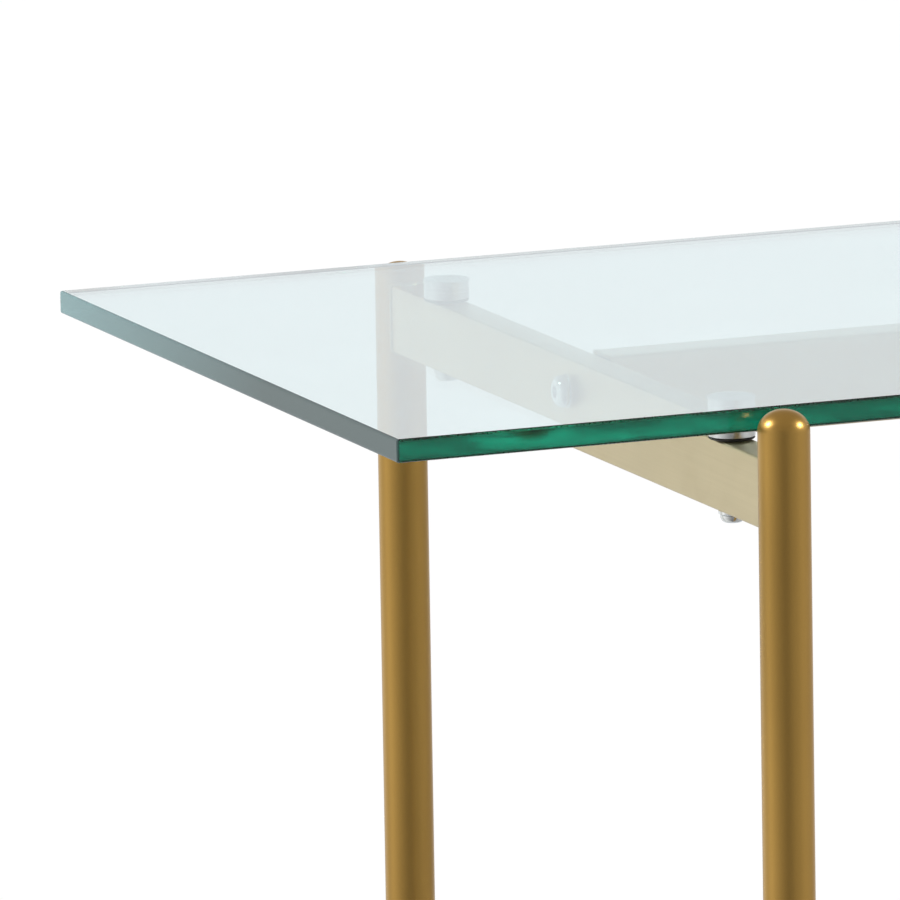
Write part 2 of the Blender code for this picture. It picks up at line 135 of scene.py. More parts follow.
class GlassSettings(bpy.types.PropertyGroup):
    """The glass top."""

    arris: length_field("Arris", "Width of the polished chamfer along every edge", 0.0010)
    arris_steps: count_field("Arris Steps", "Facets across the arris", 2)
    tint: colour_field("Tint", "Colour that light keeps on its way through both faces", (0.985, 0.985, 0.98))
    gloss: amount_field("Gloss", "Extra reflection of the faces at low angles", 1.0, max=1.0)
    body_colour: colour_field("Body Colour", "Colour that the body absorbs least", (0.0, 0.720, 0.630))
    body_density: amount_field("Body Density", "Absorption of the body, per metre of glass", 16.0)
    # Painted shade: the arris colour is darker than the glass so that the long bevels look dark.
    arris_tint_and_shade: colour_field("Arris Colour", "Colour that light keeps in the arris", (0.20, 0.45, 0.38))
    # The haze colour also carries painted light: full at the rear of the end edges, a share of it at the
    # front.
    haze_and_light_colour: colour_field("Haze Colour", "Pale haze of the ground end edges", (0.44, 0.80, 0.85))
    refraction: amount_field("Refraction", "Index of refraction", 1.52, 1.0)


class TubeSettings(bpy.types.PropertyGroup):
    """Legs, crossbars and rail."""

    leg_colour: colour_field("Leg Colour", "Satin gold coat on the legs", (0.45, 0.265, 0.064))
    bar_colour: colour_field("Bar Colour", "Champagne gold on crossbars and rail", (0.60, 0.50, 0.31))
    leg_segments: count_field("Leg Segments", "Sides of a round leg", 96, 12)
    dome_rings: count_field("Dome Rings", "Rings from shoulder to top", 20, 4)
    leg_rim: length_field("Leg Rim", "Rounding of the cut end of a leg", 0.0004)
    wall: length_field("Wall", "Wall of the rectangular tubes", 0.0015, 0.0003)
    corner: length_field("Corner", "Outer corner radius of the rectangular tubes", 0.0012, 0.0001)
    corner_steps: count_field("Corner Steps", "Facets round a tube corner", 6)
    weld_radius: length_field("Weld Radius", "Radius of the bead between crossbar and leg", 0.0009, 0.0001)
    weld_ripples: count_field("Weld Ripples", "Ripples round one weld", 46, 4)


class FittingSettings(bpy.types.PropertyGroup):
    """Bolts, screws, washers and pucks."""

    segments: count_field("Segments", "Sides of a round fitting", 72, 12)
    bolt_socket: length_field("Bolt Socket", "Width across flats of the socket in a rail bolt", 0.005)
    screw_socket: length_field("Screw Socket", "Width across flats of the socket in a puck screw", 0.004)
    socket_depth: amount_field(
        "Socket Depth", "Share of its head's height", 0.6, 0.1, max=0.9, subtype="FACTOR"
    )
    chamfer: length_field("Chamfer", "Chamfer on the rims of washers and pucks", 0.0002)
    puck_colour: colour_field("Puck Colour", "Turned steel", (0.80, 0.82, 0.83))
    zinc_colour: colour_field("Zinc Colour", "Bright zinc plate", (0.86, 0.88, 0.89))


class FootSettings(bpy.types.PropertyGroup):
    """Levelling feet."""

    thread_pitch: length_field("Thread Pitch", "Rise of the stem's thread per turn", 0.00125, 0.0001)
    grip_count: count_field("Grips", "Grip notches round a pad", 24, 3)
    nylon_colour: colour_field("Nylon Colour", "Black nylon", (0.028, 0.028, 0.030))
    rubber_colour: colour_field("Rubber Colour", "Black rubber", (0.05, 0.045, 0.04))


class StageSettings(bpy.types.PropertyGroup):
    """Floor, surrounding light and camera."""

    camera_place: FloatVectorProperty(
        name="Camera Place",
        description="Where the camera stands",
        default=(-2.5471, -5.4051, 1.7851),
        subtype="XYZ",
        unit="LENGTH",
    )
    camera_turn: angle_field("Camera Turn", "Heading, to the right of +Y", 21.691)
    camera_dip: angle_field("Camera Dip", "Angle below the horizon", 10.531)
    camera_roll: angle_field("Camera Roll", "Roll about the line of sight", -0.944)
    focal_length: amount_field("Focal Length", "In millimetres", 554.13, 1.0)
    floor_radius: length_field("Floor Radius", "Radius of the floor", 60.0)
    floor_colour: colour_field("Floor Colour", "Pale floor", (0.86, 0.86, 0.86))
    light_strength: amount_field("Light Strength", "Strength of the surrounding light", 1.5)
    lamp_power: amount_field("Lamp Power", "Power of each side lamp", 42.0, subtype="POWER")


# Node tree helpers


# A weld bead: its sides, its least radius as a share of the full one, and the noise that makes it uneven.
BEAD_SIDES = 10
LEAST_BEAD = 0.8
UNEVEN_STRETCHES = 9.0
# A thread: steps in one turn, and the sides of its ridge.
THREAD_STEPS = 32
THREAD_SIDES = 4


class Tree:
    """Adds nodes to a node tree and joins them."""

    def __init__(self, tree):
        self.tree = tree

    def node(self, kind, inputs=None, **settings):
        """Adds a node. An input is given by name or number, as a value or as another node's output."""
        made = self.tree.nodes.new(kind)
        for name, value in settings.items():
            setattr(made, name, value)
        for key, value in (inputs or {}).items():
            if isinstance(value, bpy.types.NodeSocket):
                self.tree.links.new(value, made.inputs[key])
            else:
                made.inputs[key].default_value = value
        return made

    def maths(self, operation, first, second=0.0):
        return self.node("ShaderNodeMath", {0: first, 1: second}, operation=operation).outputs[0]


class GrowTree(Tree):
    """A geometry node tree with named inputs, ending in Realize Instances and Set Material."""

    def __init__(self, name, inputs):
        super().__init__(bpy.data.node_groups.new(name, "GeometryNodeTree"))
        sockets = self.tree.interface
        for label, kind in {"Geometry": "Geometry", **inputs, "Material": "Material"}.items():
            sockets.new_socket(label, in_out="INPUT", socket_type=f"NodeSocket{kind}")
        sockets.new_socket("Geometry", in_out="OUTPUT", socket_type="NodeSocketGeometry")
        self.source = self.tree.nodes.new("NodeGroupInput")
        self.target = self.tree.nodes.new("NodeGroupOutput")

    def given(self, label):
        return self.source.outputs[label]

    def times(self, first, second):
        return self.maths("MULTIPLY", first, second)

    def plus(self, first, second):
        return self.maths("ADD", first, second)

    def less(self, first, second):
        return self.maths("SUBTRACT", first, second)

    def vector(self, x=0.0, y=0.0, z=0.0):
        return self.node("ShaderNodeCombineXYZ", {"X": x, "Y": y, "Z": z}).outputs[0]

    def chosen(self, test, otherwise, value):
        """The value where the test is 1, and the other one where it is 0."""
        return self.node("ShaderNodeMix", {0: test, 2: otherwise, 3: value}, data_type="FLOAT").outputs[0]

    def circle(self, sides, radius):
        inputs = {"Resolution": sides, "Radius": radius}
        return self.node("GeometryNodeCurvePrimitiveCircle", inputs).outputs[0]

    def skin(self, path, profile, more):
        """The profile swept along the path."""
        inputs = {"Curve": path, "Profile Curve": profile, **more}
        return self.node("GeometryNodeCurveToMesh", inputs).outputs[0]

    def finish(self, geometry):
        """Realises the geometry, gives it the Material input and joins it to the output."""
        whole = self.node("GeometryNodeRealizeInstances", {"Geometry": geometry})
        inputs = {"Geometry": whole.outputs["Geometry"], "Material": self.given("Material")}
        painted = self.node("GeometryNodeSetMaterial", inputs)
        self.tree.links.new(painted.outputs["Geometry"], self.target.inputs["Geometry"])


def grown(name, grow, values, start=None):
    """Runs a tree on a start mesh and returns the result as a plain mesh with its faces outwards."""
    carrier = linked(name, start or bpy.data.meshes.new(name))
    modifier = carrier.modifiers.new(name, "NODES")
    modifier.node_group = grow.tree
    for item in grow.tree.interface.items_tree:
        if item.in_out == "INPUT" and item.name in values:
            modifier[item.identifier] = values[item.name]
    graph = bpy.context.evaluated_depsgraph_get()
    result = bpy.data.meshes.new_from_object(
        carrier.evaluated_get(graph), preserve_all_data_layers=True, depsgraph=graph
    )
    bpy.data.objects.remove(carrier)
    if not result.polygons:
        raise RuntimeError(f"the tree for {name} made no faces")
    result.name = name
    return turned_outwards(result)


def round_post_tree():
    """A round post along Z: a rounded foot, a straight shaft and an elliptical dome."""
    names = ("Radius", "Base", "Shoulder", "Dome Height", "Rim")
    grow = GrowTree("round_post", {**dict.fromkeys(names, "Float"), "Dome Rings": "Int", "Segments": "Int"})
    # Ring 0 is the foot, ring 1 the top of its rounding, and from ring 2 the dome climbs to its pole.
    foot_rings = 2.0
    rings, rim = grow.given("Dome Rings"), grow.given("Rim")
    line = grow.node("GeometryNodeMeshLine", {"Count": grow.plus(rings, foot_rings + 1.0)})
    index = grow.node("GeometryNodeInputIndex").outputs[0]
    climb = grow.maths("DIVIDE", grow.less(index, foot_rings), rings)
    turn = grow.times(grow.maths("MAXIMUM", climb, 0.0), math.pi / 2)
    rise = grow.times(grow.maths("SINE", turn), grow.given("Dome Height"))
    dome_z = grow.plus(grow.given("Shoulder"), rise)
    dome_radius = grow.times(grow.maths("COSINE", turn), grow.given("Radius"))
    above_foot = grow.maths("MINIMUM", index, 1.0)
    foot_z = grow.plus(grow.given("Base"), grow.times(above_foot, rim))
    foot_radius = grow.less(grow.given("Radius"), grow.times(grow.less(1.0, above_foot), rim))
    in_dome = grow.maths("GREATER_THAN", index, foot_rings - 0.5)
    height = grow.chosen(in_dome, foot_z, dome_z)
    radius = grow.chosen(in_dome, foot_radius, dome_radius)
    inputs = {"Geometry": line.outputs[0], "Position": grow.vector(z=height)}
    placed = grow.node("GeometryNodeSetPosition", inputs)
    path = grow.node("GeometryNodeMeshToCurve", {"Mesh": placed.outputs[0]})
    circle = grow.circle(grow.given("Segments"), 1.0)
    grow.finish(grow.skin(path.outputs[0], circle, {"Scale": radius, "Fill Caps": True}))
    return grow


def copies_tree():
    """Copies of the start mesh in two columns, at plus and minus X, each with rows at plus and minus Y."""
    grow = GrowTree("mirrored_copies", {"Half X": "Float", "Half Y": "Float", "Rows": "Int"})
    half_x, half_y = grow.given("Half X"), grow.given("Half Y")

    def line(count, start, offset):
        inputs = {"Count": count, "Start Location": start, "Offset": offset}
        return grow.node("GeometryNodeMeshLine", inputs).outputs[0]

    def instances(points, **inputs):
        return grow.node("GeometryNodeInstanceOnPoints", {"Points": points, **inputs}).outputs[0]

    columns = line(2, grow.vector(x=grow.times(half_x, -1.0)), grow.vector(x=grow.times(half_x, 2.0)))
    rows = line(
        grow.given("Rows"), grow.vector(y=grow.times(half_y, -1.0)), grow.vector(y=grow.times(half_y, 2.0))
    )
    spread = instances(columns, Instance=rows)
    points = grow.node("GeometryNodeRealizeInstances", {"Geometry": spread}).outputs[0]
    place = grow.node("GeometryNodeInputPosition").outputs[0]
    across = grow.node("ShaderNodeSeparateXYZ", {0: place}).outputs["X"]
    half_turn = grow.times(grow.maths("LESS_THAN", across, 0.0), math.pi)
    grow.finish(instances(points, Instance=grow.given("Geometry"), Rotation=grow.vector(z=half_turn)))
    return grow


def bead_tree():
    """A rippled weld bead along the closed edge loop of the start mesh."""
    inputs = {"Bead Radius": "Float", "Ripples": "Float", "Ripple Depth": "Float", "Points": "Int"}
    grow = GrowTree("weld_bead", inputs)
    path = grow.node("GeometryNodeMeshToCurve", {"Mesh": grow.given("Geometry")})
    even = grow.node("GeometryNodeResampleCurve", {"Curve": path.outputs[0], "Count": grow.given("Points")})
    along = grow.node("GeometryNodeSplineParameter").outputs["Factor"]
    phase = grow.times(along, grow.times(grow.given("Ripples"), math.pi))
    wave = grow.maths("ABSOLUTE", grow.maths("SINE", phase))
    uneven = {"W": grow.times(along, UNEVEN_STRETCHES), "Detail": 2.0}
    unsteady = grow.node("ShaderNodeTexNoise", uneven, noise_dimensions="1D")
    swell = grow.times(grow.plus(wave, unsteady.outputs[0]), grow.given("Ripple Depth"))
    radius = grow.times(grow.plus(swell, LEAST_BEAD), grow.given("Bead Radius"))
    grow.finish(grow.skin(even.outputs[0], grow.circle(BEAD_SIDES, 1.0), {"Scale": radius}))
    return grow


def thread_tree():
    """A screw thread that climbs along Z round a rod."""
    names = ("Root Radius", "Ridge", "Turns", "Base", "Length")
    grow = GrowTree("screw_thread", dict.fromkeys(names, "Float"))
    inputs = {
        "Resolution": THREAD_STEPS,
        "Rotations": grow.given("Turns"),
        "Start Radius": grow.given("Root Radius"),
        "End Radius": grow.given("Root Radius"),
        "Height": grow.given("Length"),
    }
    spiral = grow.node("GeometryNodeCurveSpiral", inputs)
    skin = grow.skin(spiral.outputs[0], grow.circle(THREAD_SIDES, grow.given("Ridge")), {"Fill Caps": True})
    lift = grow.vector(z=grow.given("Base"))
    raised = grow.node("GeometryNodeTransform", {"Geometry": skin, "Translation": lift})
    both = grow.node("GeometryNodeJoinGeometry")
    for geometry in (grow.given("Geometry"), raised.outputs[0]):
        grow.tree.links.new(geometry, both.inputs[0])
    grow.finish(both.outputs[0])
    return grow


# Mesh helpers


def cleaned(shape, mesh):
    """Merges the bmesh's doubles, turns its faces outwards and writes it to the mesh, shaded."""
    bmesh.ops.remove_doubles(shape, verts=shape.verts, dist=MERGE_DISTANCE)
    bmesh.ops.recalc_face_normals(shape, faces=shape.faces)
    shape.to_mesh(mesh)
    shape.free()
    mesh.shade_smooth()
    mesh.set_sharp_from_angle(angle=SHARP_ANGLE)
    return mesh


def mesh_from(shape, name):
    return cleaned(shape, bpy.data.meshes.new(name))


def turned_outwards(mesh):
    shape = bmesh.new()
    shape.from_mesh(mesh)
    return cleaned(shape, mesh)


def turned(name, outline, segments, ring=False):
    """Turns an outline of (radius, height) points about Z. A ring's outline closes on itself."""
    shape = bmesh.new()
    points = [shape.verts.new((radius, 0.0, height)) for radius, height in outline]
    pairs = list(zip(points, points[1:]))
    if ring:
        pairs.append((points[-1], points[0]))
    edges = [shape.edges.new(pair) for pair in pairs]
    bmesh.ops.spin(
        shape,
        geom=points + edges,
        axis=(0, 0, 1),
        cent=(0, 0, 0),
        angle=math.tau,
        steps=segments,
        use_merge=True,
    )
    return mesh_from(shape, name)


def arc(centre, radii, start, end, steps):
    """Points on an ellipse about a centre, from one angle to another, in degrees."""
    points = []
    for step in range(steps + 1):
        turn = math.radians(start + (end - start) * step / steps)
        points.append((centre[0] + radii[0] * math.cos(turn), centre[1] + radii[1] * math.sin(turn)))
    return points


def chamfered(inner, outer, low, high, cut):
    """The outline of a flat ring with all four rims chamfered."""
    return [
        (inner + cut, low),
        (outer - cut, low),
        (outer, low + cut),
        (outer, high - cut),
        (outer - cut, high),
        (inner + cut, high),
        (inner, high - cut),
        (inner, low + cut),
    ]


def rounded_rectangle(width, height, corner, steps, flats=1):
    """Points round a rectangle with round corners, its top and bottom split into some flats."""
    points = []
    for quarter, (side_x, side_z) in enumerate(((1, 1), (-1, 1), (-1, -1), (1, -1))):
        centre = (side_x * (width / 2 - corner), side_z * (height / 2 - corner))
        points += arc(centre, (corner, corner), 90 * quarter, 90 * (quarter + 1), steps)
        if quarter % 2 == 0:
            start, span = points[-1][0], -2 * side_x * (width / 2 - corner)
            points += [(start + span * k / flats, points[-1][1]) for k in range(1, flats)]
    return points


def joined_rings(name, rings, closed):
    """Joins each ring of points to the next, and the last to the first or each end with a face."""
    shape = bmesh.new()
    loops = [[shape.verts.new(point) for point in ring] for ring in rings]
    pairs = list(zip(loops, loops[1:]))
    if closed:
        pairs.append((loops[-1], loops[0]))
    else:
        shape.faces.new(loops[0])
        shape.faces.new(loops[-1])
    for loop, following in pairs:
        for i in range(len(loop)):
            shape.faces.new((loop[i - 1], loop[i], following[i], following[i - 1]))
    return mesh_from(shape, name)


def box_tube(name, width, height, settings, end_at, flats):
    """An open rectangular tube along Y. end_at gives half its length at each distance across it."""
    wall = settings.wall
    outer = rounded_rectangle(width, height, settings.corner, settings.corner_steps, flats)
    inner_corner = max(settings.corner - wall, wall * LEAST_INNER_CORNER)
    inner = rounded_rectangle(
        width - 2 * wall, height - 2 * wall, inner_corner, settings.corner_steps, flats
    )
    rings = []
    for (outer_x, outer_z), (inner_x, inner_z) in zip(outer, inner):
        outer_end, inner_end = end_at(outer_x), end_at(inner_x)
        outside = [(outer_x, -outer_end, outer_z), (outer_x, outer_end, outer_z)]
        inside = [(inner_x, inner_end, inner_z), (inner_x, -inner_end, inner_z)]
        rings.append(outside + inside)
    return joined_rings(name, rings, closed=True)


def with_hexagon_cut(mesh, width, depth, top):
    """The mesh with a hexagonal socket of this width across flats sunk into its top."""
    name = mesh.name
    shape = bmesh.new()
    length = 2 * depth
    at_top = Matrix.Translation((0, 0, top))
    radius = width / 2 / math.cos(math.pi / HEX_SIDES)
    bmesh.ops.create_cone(
        shape, cap_ends=True, segments=HEX_SIDES, radius1=radius, radius2=radius, depth=length, matrix=at_top
    )
    punch = linked(f"{name}_punch", mesh_from(shape, f"{name}_punch"))
    blank = linked(f"{name}_blank", mesh)
    boolean = blank.modifiers.new("socket", "BOOLEAN")
    boolean.operation = "DIFFERENCE"
    boolean.solver = "EXACT"
    boolean.object = punch
    graph = bpy.context.evaluated_depsgraph_get()
    result = bpy.data.meshes.new_from_object(blank.evaluated_get(graph), depsgraph=graph)
    for spare in (punch, blank):
        bpy.data.objects.remove(spare)
    result.name = name
    return turned_outwards(result)


def linked(name, mesh):
    made = bpy.data.objects.new(name, mesh)
    bpy.context.scene.collection.objects.link(made)
    return made


def moved(mesh, name, matrix):
    """A copy of the mesh, moved by a matrix."""
    copy = mesh.copy()
    copy.name = name
    copy.transform(matrix)
    return copy


def piece(name, mesh, look, nodes, body=BODY):
    """A finished piece of the table, which rides on a body and stands for some nodes."""
    made = linked(name, mesh)
    mesh.materials.clear()
    mesh.materials.append(look)
    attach(made, body)
    if nodes:
        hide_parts(*nodes)
    return made


def all_corners(prefix):
    return [f"{prefix}_{corner}" for corner in CORNERS]


def both_sides(prefix):
    return [f"{prefix}_{side}" for side in SIDES]


# Materials


class Look(Tree):
    """A material of one Principled shader, with helpers for the textures that feed it."""

    def __init__(self, name, colour, roughness, metallic, **values):
        self.material = bpy.data.materials.new(name)
        self.material.use_nodes = True
        super().__init__(self.material.node_tree)
        self.shader = self.tree.nodes["Principled BSDF"]
        self.place = self.tree.nodes.new("ShaderNodeTexCoord").outputs["Object"]
        values = {"Base_Color": (*colour, 1.0), "Roughness": roughness, "Metallic": metallic, **values}
        for key, value in values.items():
            self.shader.inputs[key.replace("_", " ")].default_value = value

    def feed(self, name, output):
        self.tree.links.new(output, self.shader.inputs[name])

    def noise(self, scale, detail=3.0, stretch=(1, 1, 1)):
        """A noise of so many cells per metre, stretched along an axis where its number is under 1."""
        mapping = self.node("ShaderNodeMapping", {"Vector": self.place, "Scale": stretch})
        inputs = {"Vector": mapping.outputs[0], "Scale": scale, "Detail": detail, "Roughness": 0.5}
        return self.node("ShaderNodeTexNoise", inputs).outputs[0]

    def spread(self, value, low, high, start=0.3, end=0.7):
        """Maps a value from start..end to low..high, and holds it there."""
        inputs = {"Value": value, "From Min": start, "From Max": end, "To Min": low, "To Max": high}
        return self.node("ShaderNodeMapRange", inputs).outputs[0]

    def mixed(self, factor, first, second):
        """A colour between two: a plain colour is a triple, a fed one an output."""
        inputs = {0: factor}
        for key, colour in ((6, first), (7, second)):
            inputs[key] = colour if isinstance(colour, bpy.types.NodeSocket) else (*colour, 1.0)
        return self.node("ShaderNodeMix", inputs, data_type="RGBA").outputs[2]

    def toned(self, value, colour, low, high):
        """The colour times a share that runs from low to high as the value rises."""
        return self.mixed(self.spread(value, 0.0, 1.0), shade(colour, low), shade(colour, high))

    def along(self, axis, vector=None):
        return self.node("ShaderNodeSeparateXYZ", {0: vector or self.place}).outputs[axis]

    def bump(self, value, strength, distance):
        inputs = {"Height": value, "Strength": strength, "Distance": distance}
        self.feed("Normal", self.node("ShaderNodeBump", inputs).outputs[0])


def shade(colour, share):
    return tuple(min(1.0, channel * share) for channel in colour)


def satin_gold(settings):
    """Antique gold coat with a fine grain, small clouds and scuffs just above the feet."""
    colour = settings.leg_colour
    look = Look("satin_gold_coat", colour, roughness=0.34, metallic=0.78)
    clouds = look.noise(28.0, stretch=(1, 1, 0.25))
    grain = look.noise(2600.0, detail=2.0)
    flakes = look.spread(grain, 0.0, 0.16, start=0.45, end=0.75)
    flaked = look.mixed(flakes, look.toned(clouds, colour, 0.94, 1.06), shade(colour, 1.35))
    low_down = look.spread(look.along("Z"), 1.0, 0.0, start=0.012, end=0.075)
    scuffs = look.spread(look.noise(420.0, 4.0, (1, 1, 0.3)), 0.0, 0.6, start=0.52, end=0.66)
    rubbed = look.maths("MULTIPLY", low_down, scuffs)
    look.feed("Base Color", look.mixed(rubbed, flaked, shade(colour, 0.62)))
    duller = look.maths("MULTIPLY", rubbed, 0.25)
    look.feed("Roughness", look.maths("ADD", look.spread(grain, 0.28, 0.37), duller))
    look.bump(grain, strength=0.10, distance=0.00006)
    return look.material


def champagne_gold(settings, name, grain_along):
    """Pale gold plate with drawing lines along the tube and a few faint handling marks."""
    colour = settings.bar_colour
    look = Look(name, colour, roughness=0.30, metallic=0.88)
    lines = look.noise(900.0, 1.5, grain_along)
    toned = look.toned(look.noise(16.0), colour, 0.96, 1.04)
    look.feed("Base Color", look.mixed(look.spread(lines, 0.0, 0.12), toned, shade(colour, 0.84)))
    marks = look.spread(look.noise(60.0, 2.0), 0.0, 0.06, start=0.55, end=0.75)
    look.feed("Roughness", look.maths("ADD", look.spread(lines, 0.29, 0.33), marks))
    look.bump(look.noise(24.0, 2.0), strength=0.05, distance=0.0004)
    return look.material


def mottled(name, colour, metallic, grain, shares, dullness, bump, marks=None):
    """A metal whose colour and roughness follow one noise: grain and marks are (scale, detail) pairs."""
    look = Look(name, colour, roughness=sum(dullness) / 2, metallic=metallic)
    spots = look.noise(*grain)
    look.feed("Base Color", look.toned(spots, colour, *shares))
    look.feed("Roughness", look.spread(spots, *dullness))
    look.bump(look.noise(*marks) if marks else spots, *bump)
    return look.material


def weld_metal(settings):
    """The bead between crossbar and leg, plated over with the bar."""
    colour = settings.bar_colour
    return mottled("plated_weld", colour, 0.9, (1400.0, 3.0), (0.80, 1.08), (0.26, 0.46), (0.3, 0.00008))


def bright_zinc(settings):
    """Zinc plate with a faint blue cast, cloudy all over, under a much finer grain."""
    return mottled(
        "bright_zinc_plate",
        settings.zinc_colour,
        metallic=1.0,
        grain=(700.0, 4.0),
        shares=(0.86, 1.05),
        dullness=(0.10, 0.20),
        bump=(0.10, 0.00002),
        marks=(5200.0, 2.0),
    )


def dark_plate():
    """Black-oxide steel of the threaded plates inside the rail."""
    colour = (0.11, 0.115, 0.12)
    return mottled("black_oxide_steel", colour, 0.9, (500.0, 5.0), (0.6, 1.5), (0.36, 0.56), (0.2, 0.00005))


def turned_steel(settings):
    """Steel turned on a lathe: the highlight spreads across the turning marks."""
    colour = settings.puck_colour
    look = Look("turned_steel", colour, roughness=0.20, metallic=1.0, Anisotropic=0.75)
    round_marks = look.node("ShaderNodeTangent", direction_type="UV_MAP", uv_map=TURNING_MAP)
    look.feed("Tangent", round_marks.outputs[0])
    turning = look.node("ShaderNodeUVMap", uv_map=TURNING_MAP).outputs[0]
    inputs = {"W": look.along("Y", turning), "Scale": 2400.0, "Detail": 3.0}
    marks = look.node("ShaderNodeTexNoise", inputs, noise_dimensions="1D").outputs[0]
    toned = look.toned(look.noise(260.0), colour, 0.93, 1.04)
    look.feed("Base Color", look.mixed(look.spread(marks, 0.0, 0.2), toned, shade(colour, 0.78)))
    look.feed("Roughness", look.spread(marks, 0.16, 0.28))
    return look.material


def moulded(name, colour, roughness, grain_scale):
    """A moulded black part: fine spark grain, dusty here and there."""
    look = Look(name, colour, roughness, metallic=0.0)
    grain = look.noise(grain_scale, 2.0)
    dust = look.spread(look.noise(90.0, 5.0), 0.0, 0.5, start=0.45, end=0.75)
    look.feed("Base Color", look.mixed(dust, colour, shade(colour, 2.2)))
    look.feed("Roughness", look.spread(grain, roughness - 0.07, roughness + 0.09))
    look.bump(grain, strength=0.25, distance=0.00004)
    return look.material


def glassy(name, settings, colour, roughness, transmission=1.0, **values):
    """A look that lets light through, over a body of glass that absorbs all but its green."""
    look = Look(
        name, colour, roughness, 0.0, Transmission_Weight=transmission, IOR=settings.refraction, **values
    )
    body = {"Color": (*settings.body_colour, 1.0), "Density": settings.body_density}
    absorbing = look.node("ShaderNodeVolumeAbsorption", body)
    look.tree.links.new(absorbing.outputs[0], look.tree.nodes["Material Output"].inputs["Volume"])
    return look


def clear_glass(settings):
    """The faces of the sheet: colourless, with the gloss of a clear coat."""
    tint = settings.tint
    look = glassy("clear_float_glass", settings, tint, 0.0, Coat_Weight=settings.gloss, Coat_Roughness=0.0)
    look.feed("Base Color", look.toned(look.noise(9.0, 3.0, (1, 0.4, 1)), tint, 1.0, 1.02))
    look.feed("Roughness", look.spread(look.noise(14.0, 4.0), 0.0, 0.012, start=0.5, end=0.8))
    return look.material


def long_edge(settings):
    """The polished front and rear edges: clear, with a faint ripple from the polishing wheel."""
    look = glassy("polished_long_edge", settings, WHITE, 0.10)
    waves = look.noise(60.0, 3.0, (1, 1, 0.3))
    look.feed("Base Color", look.toned(waves, WHITE, 0.94, 1.0))
    look.feed("Roughness", look.spread(waves, 0.09, 0.11))
    look.bump(waves, strength=0.012, distance=0.0003)
    return look.material


def ground_arris(settings):
    """The narrow ground bevel along the long edges: duller than the polish, and darker by painted shade."""
    colour = settings.arris_tint_and_shade
    look = glassy("ground_arris", settings, colour, 0.30)
    grit = look.noise(1500.0, 2.0)
    # Painted shade darkens the bevel's colour, under a grit of random tone.
    look.feed("Base Color", look.toned(grit, colour, 0.9, 1.1))
    look.feed("Roughness", look.spread(grit, 0.24, 0.36))
    look.bump(grit, strength=0.05, distance=0.00002)
    return look.material


def end_edge(settings):
    """The hazy ground left and right edges, with painted light that makes them paler toward the rear."""
    haze_and_light = settings.haze_and_light_colour
    look = glassy("ground_end_edge", settings, haze_and_light, 0.12, transmission=0.7)
    streaks = look.noise(22.0, 4.0, (1, 0.5, 1))
    # Painted light: the edge colour is full at the rear and fades to a share of it toward the front.
    rearward = look.spread(look.along("Y"), 0.0, 1.0, start=PAINTED_LIGHT_START, end=GLASS_HIGH.y)
    painted_rear_light = look.maths("MULTIPLY", rearward, look.spread(streaks, 0.75, 1.0))
    look.feed("Base Color", look.mixed(painted_rear_light, shade(haze_and_light, PAINTED_FRONT_SHADE), haze_and_light))
    look.feed("Roughness", look.spread(streaks, 0.08, 0.16))
    look.bump(look.noise(1800.0), strength=0.05, distance=0.00003)
    return look.material


# Pieces


# How far a face's normal may stray from an axis and still count as along it.
NORMAL_SLACK = 1e-6
# Flats along the top and bottom of a weld's line and of a crossbar, and the ripples of the weld.
WELD_FLATS, BAR_FLATS = 8, 10
RIPPLE_DEPTH = 0.16
RIPPLE_POINTS = 8
# A button head: its rim as a share of its height, its flat as a share of its radius, the facets of its arcs,
# and the radius of a rail bolt's shank as a share of its head's.
BUTTON_RIM, BUTTON_FLAT = 0.16, 0.55
BUTTON_STEPS, RIM_STEPS = 14, 4
BOLT_SHANK = 4 / 7
SCREW_RADIUS = 0.003
# A spring washer: play on its bolt, corner radius, facets of a corner, and its split.
WASHER_PLAY, WASHER_CORNER, WASHER_CORNER_STEPS = 0.0003, 0.0003, 3
WASHER_SPLIT = math.radians(12.0)
RUBBER_BORE, SCREW_WASHER_BORE = 0.0035, 0.0033
# A puck: the overhang and height of its flange, and radii on its turned face as shares of its own.
FLANGE_OVERHANG, FLANGE_HEIGHT = 0.0004, 0.0008
FACE_RIM, FACE_DISH, FACE_CENTRE = 0.62, 0.60, 0.12
# A pad: the rounding of its top, its foot as (inset, height) points, its socket's depth and its grip notches.
PAD_TOP_ROUND, PAD_TOP_STEPS = 0.0015, 6
PAD_FOOT = ((0.0010, 0.0), (0.0003, 0.0004), (0.0, 0.0012))
PAD_SOCKET = 0.003
GRIP_DEPTH = 0.0004
GRIP_POINTS = 8
# A stem and its hexagon.
STEM_RADIUS, STEM_BORE = 0.004, 0.0043
STEM_TIP, TIP_INSET, THREAD_DEPTH, THREAD_RIDGE = 0.0010, 0.0006, 0.0005, 0.00052
THREAD_START, THREAD_RUN_OUT = 0.0004, 0.0012
SPANNER_WIDTH, HEX_CHAMFER, HEX_CORNER = 0.013, 0.0004, 0.94
HEX_TO_PAD, HEX_TO_INSERT = 0.0003, 0.0010
# An insert: gap to the tube, wall left off its plug, its rounding, and small chamfers.
FLANGE_GAP, PLUG_STEP, INSERT_ROUND, FINE_CUT = 0.0003, 0.0018, 0.0006, 0.0002


def glass_slab(settings):
    """The sheet of glass, with an arris along every edge."""
    shape = bmesh.new()
    size = Matrix.Diagonal((*GLASS_SIZE, 1.0))
    bmesh.ops.create_cube(shape, size=1.0, matrix=Matrix.Translation(GLASS_MIDDLE) @ size)
    bmesh.ops.bevel(
        shape,
        geom=shape.edges[:],
        offset=settings.arris,
        offset_type="OFFSET",
        segments=settings.arris_steps,
        profile=0.5,
        affect="EDGES",
    )
    mesh = mesh_from(shape, "glass_sheet")
    mesh.shade_flat()
    return mesh


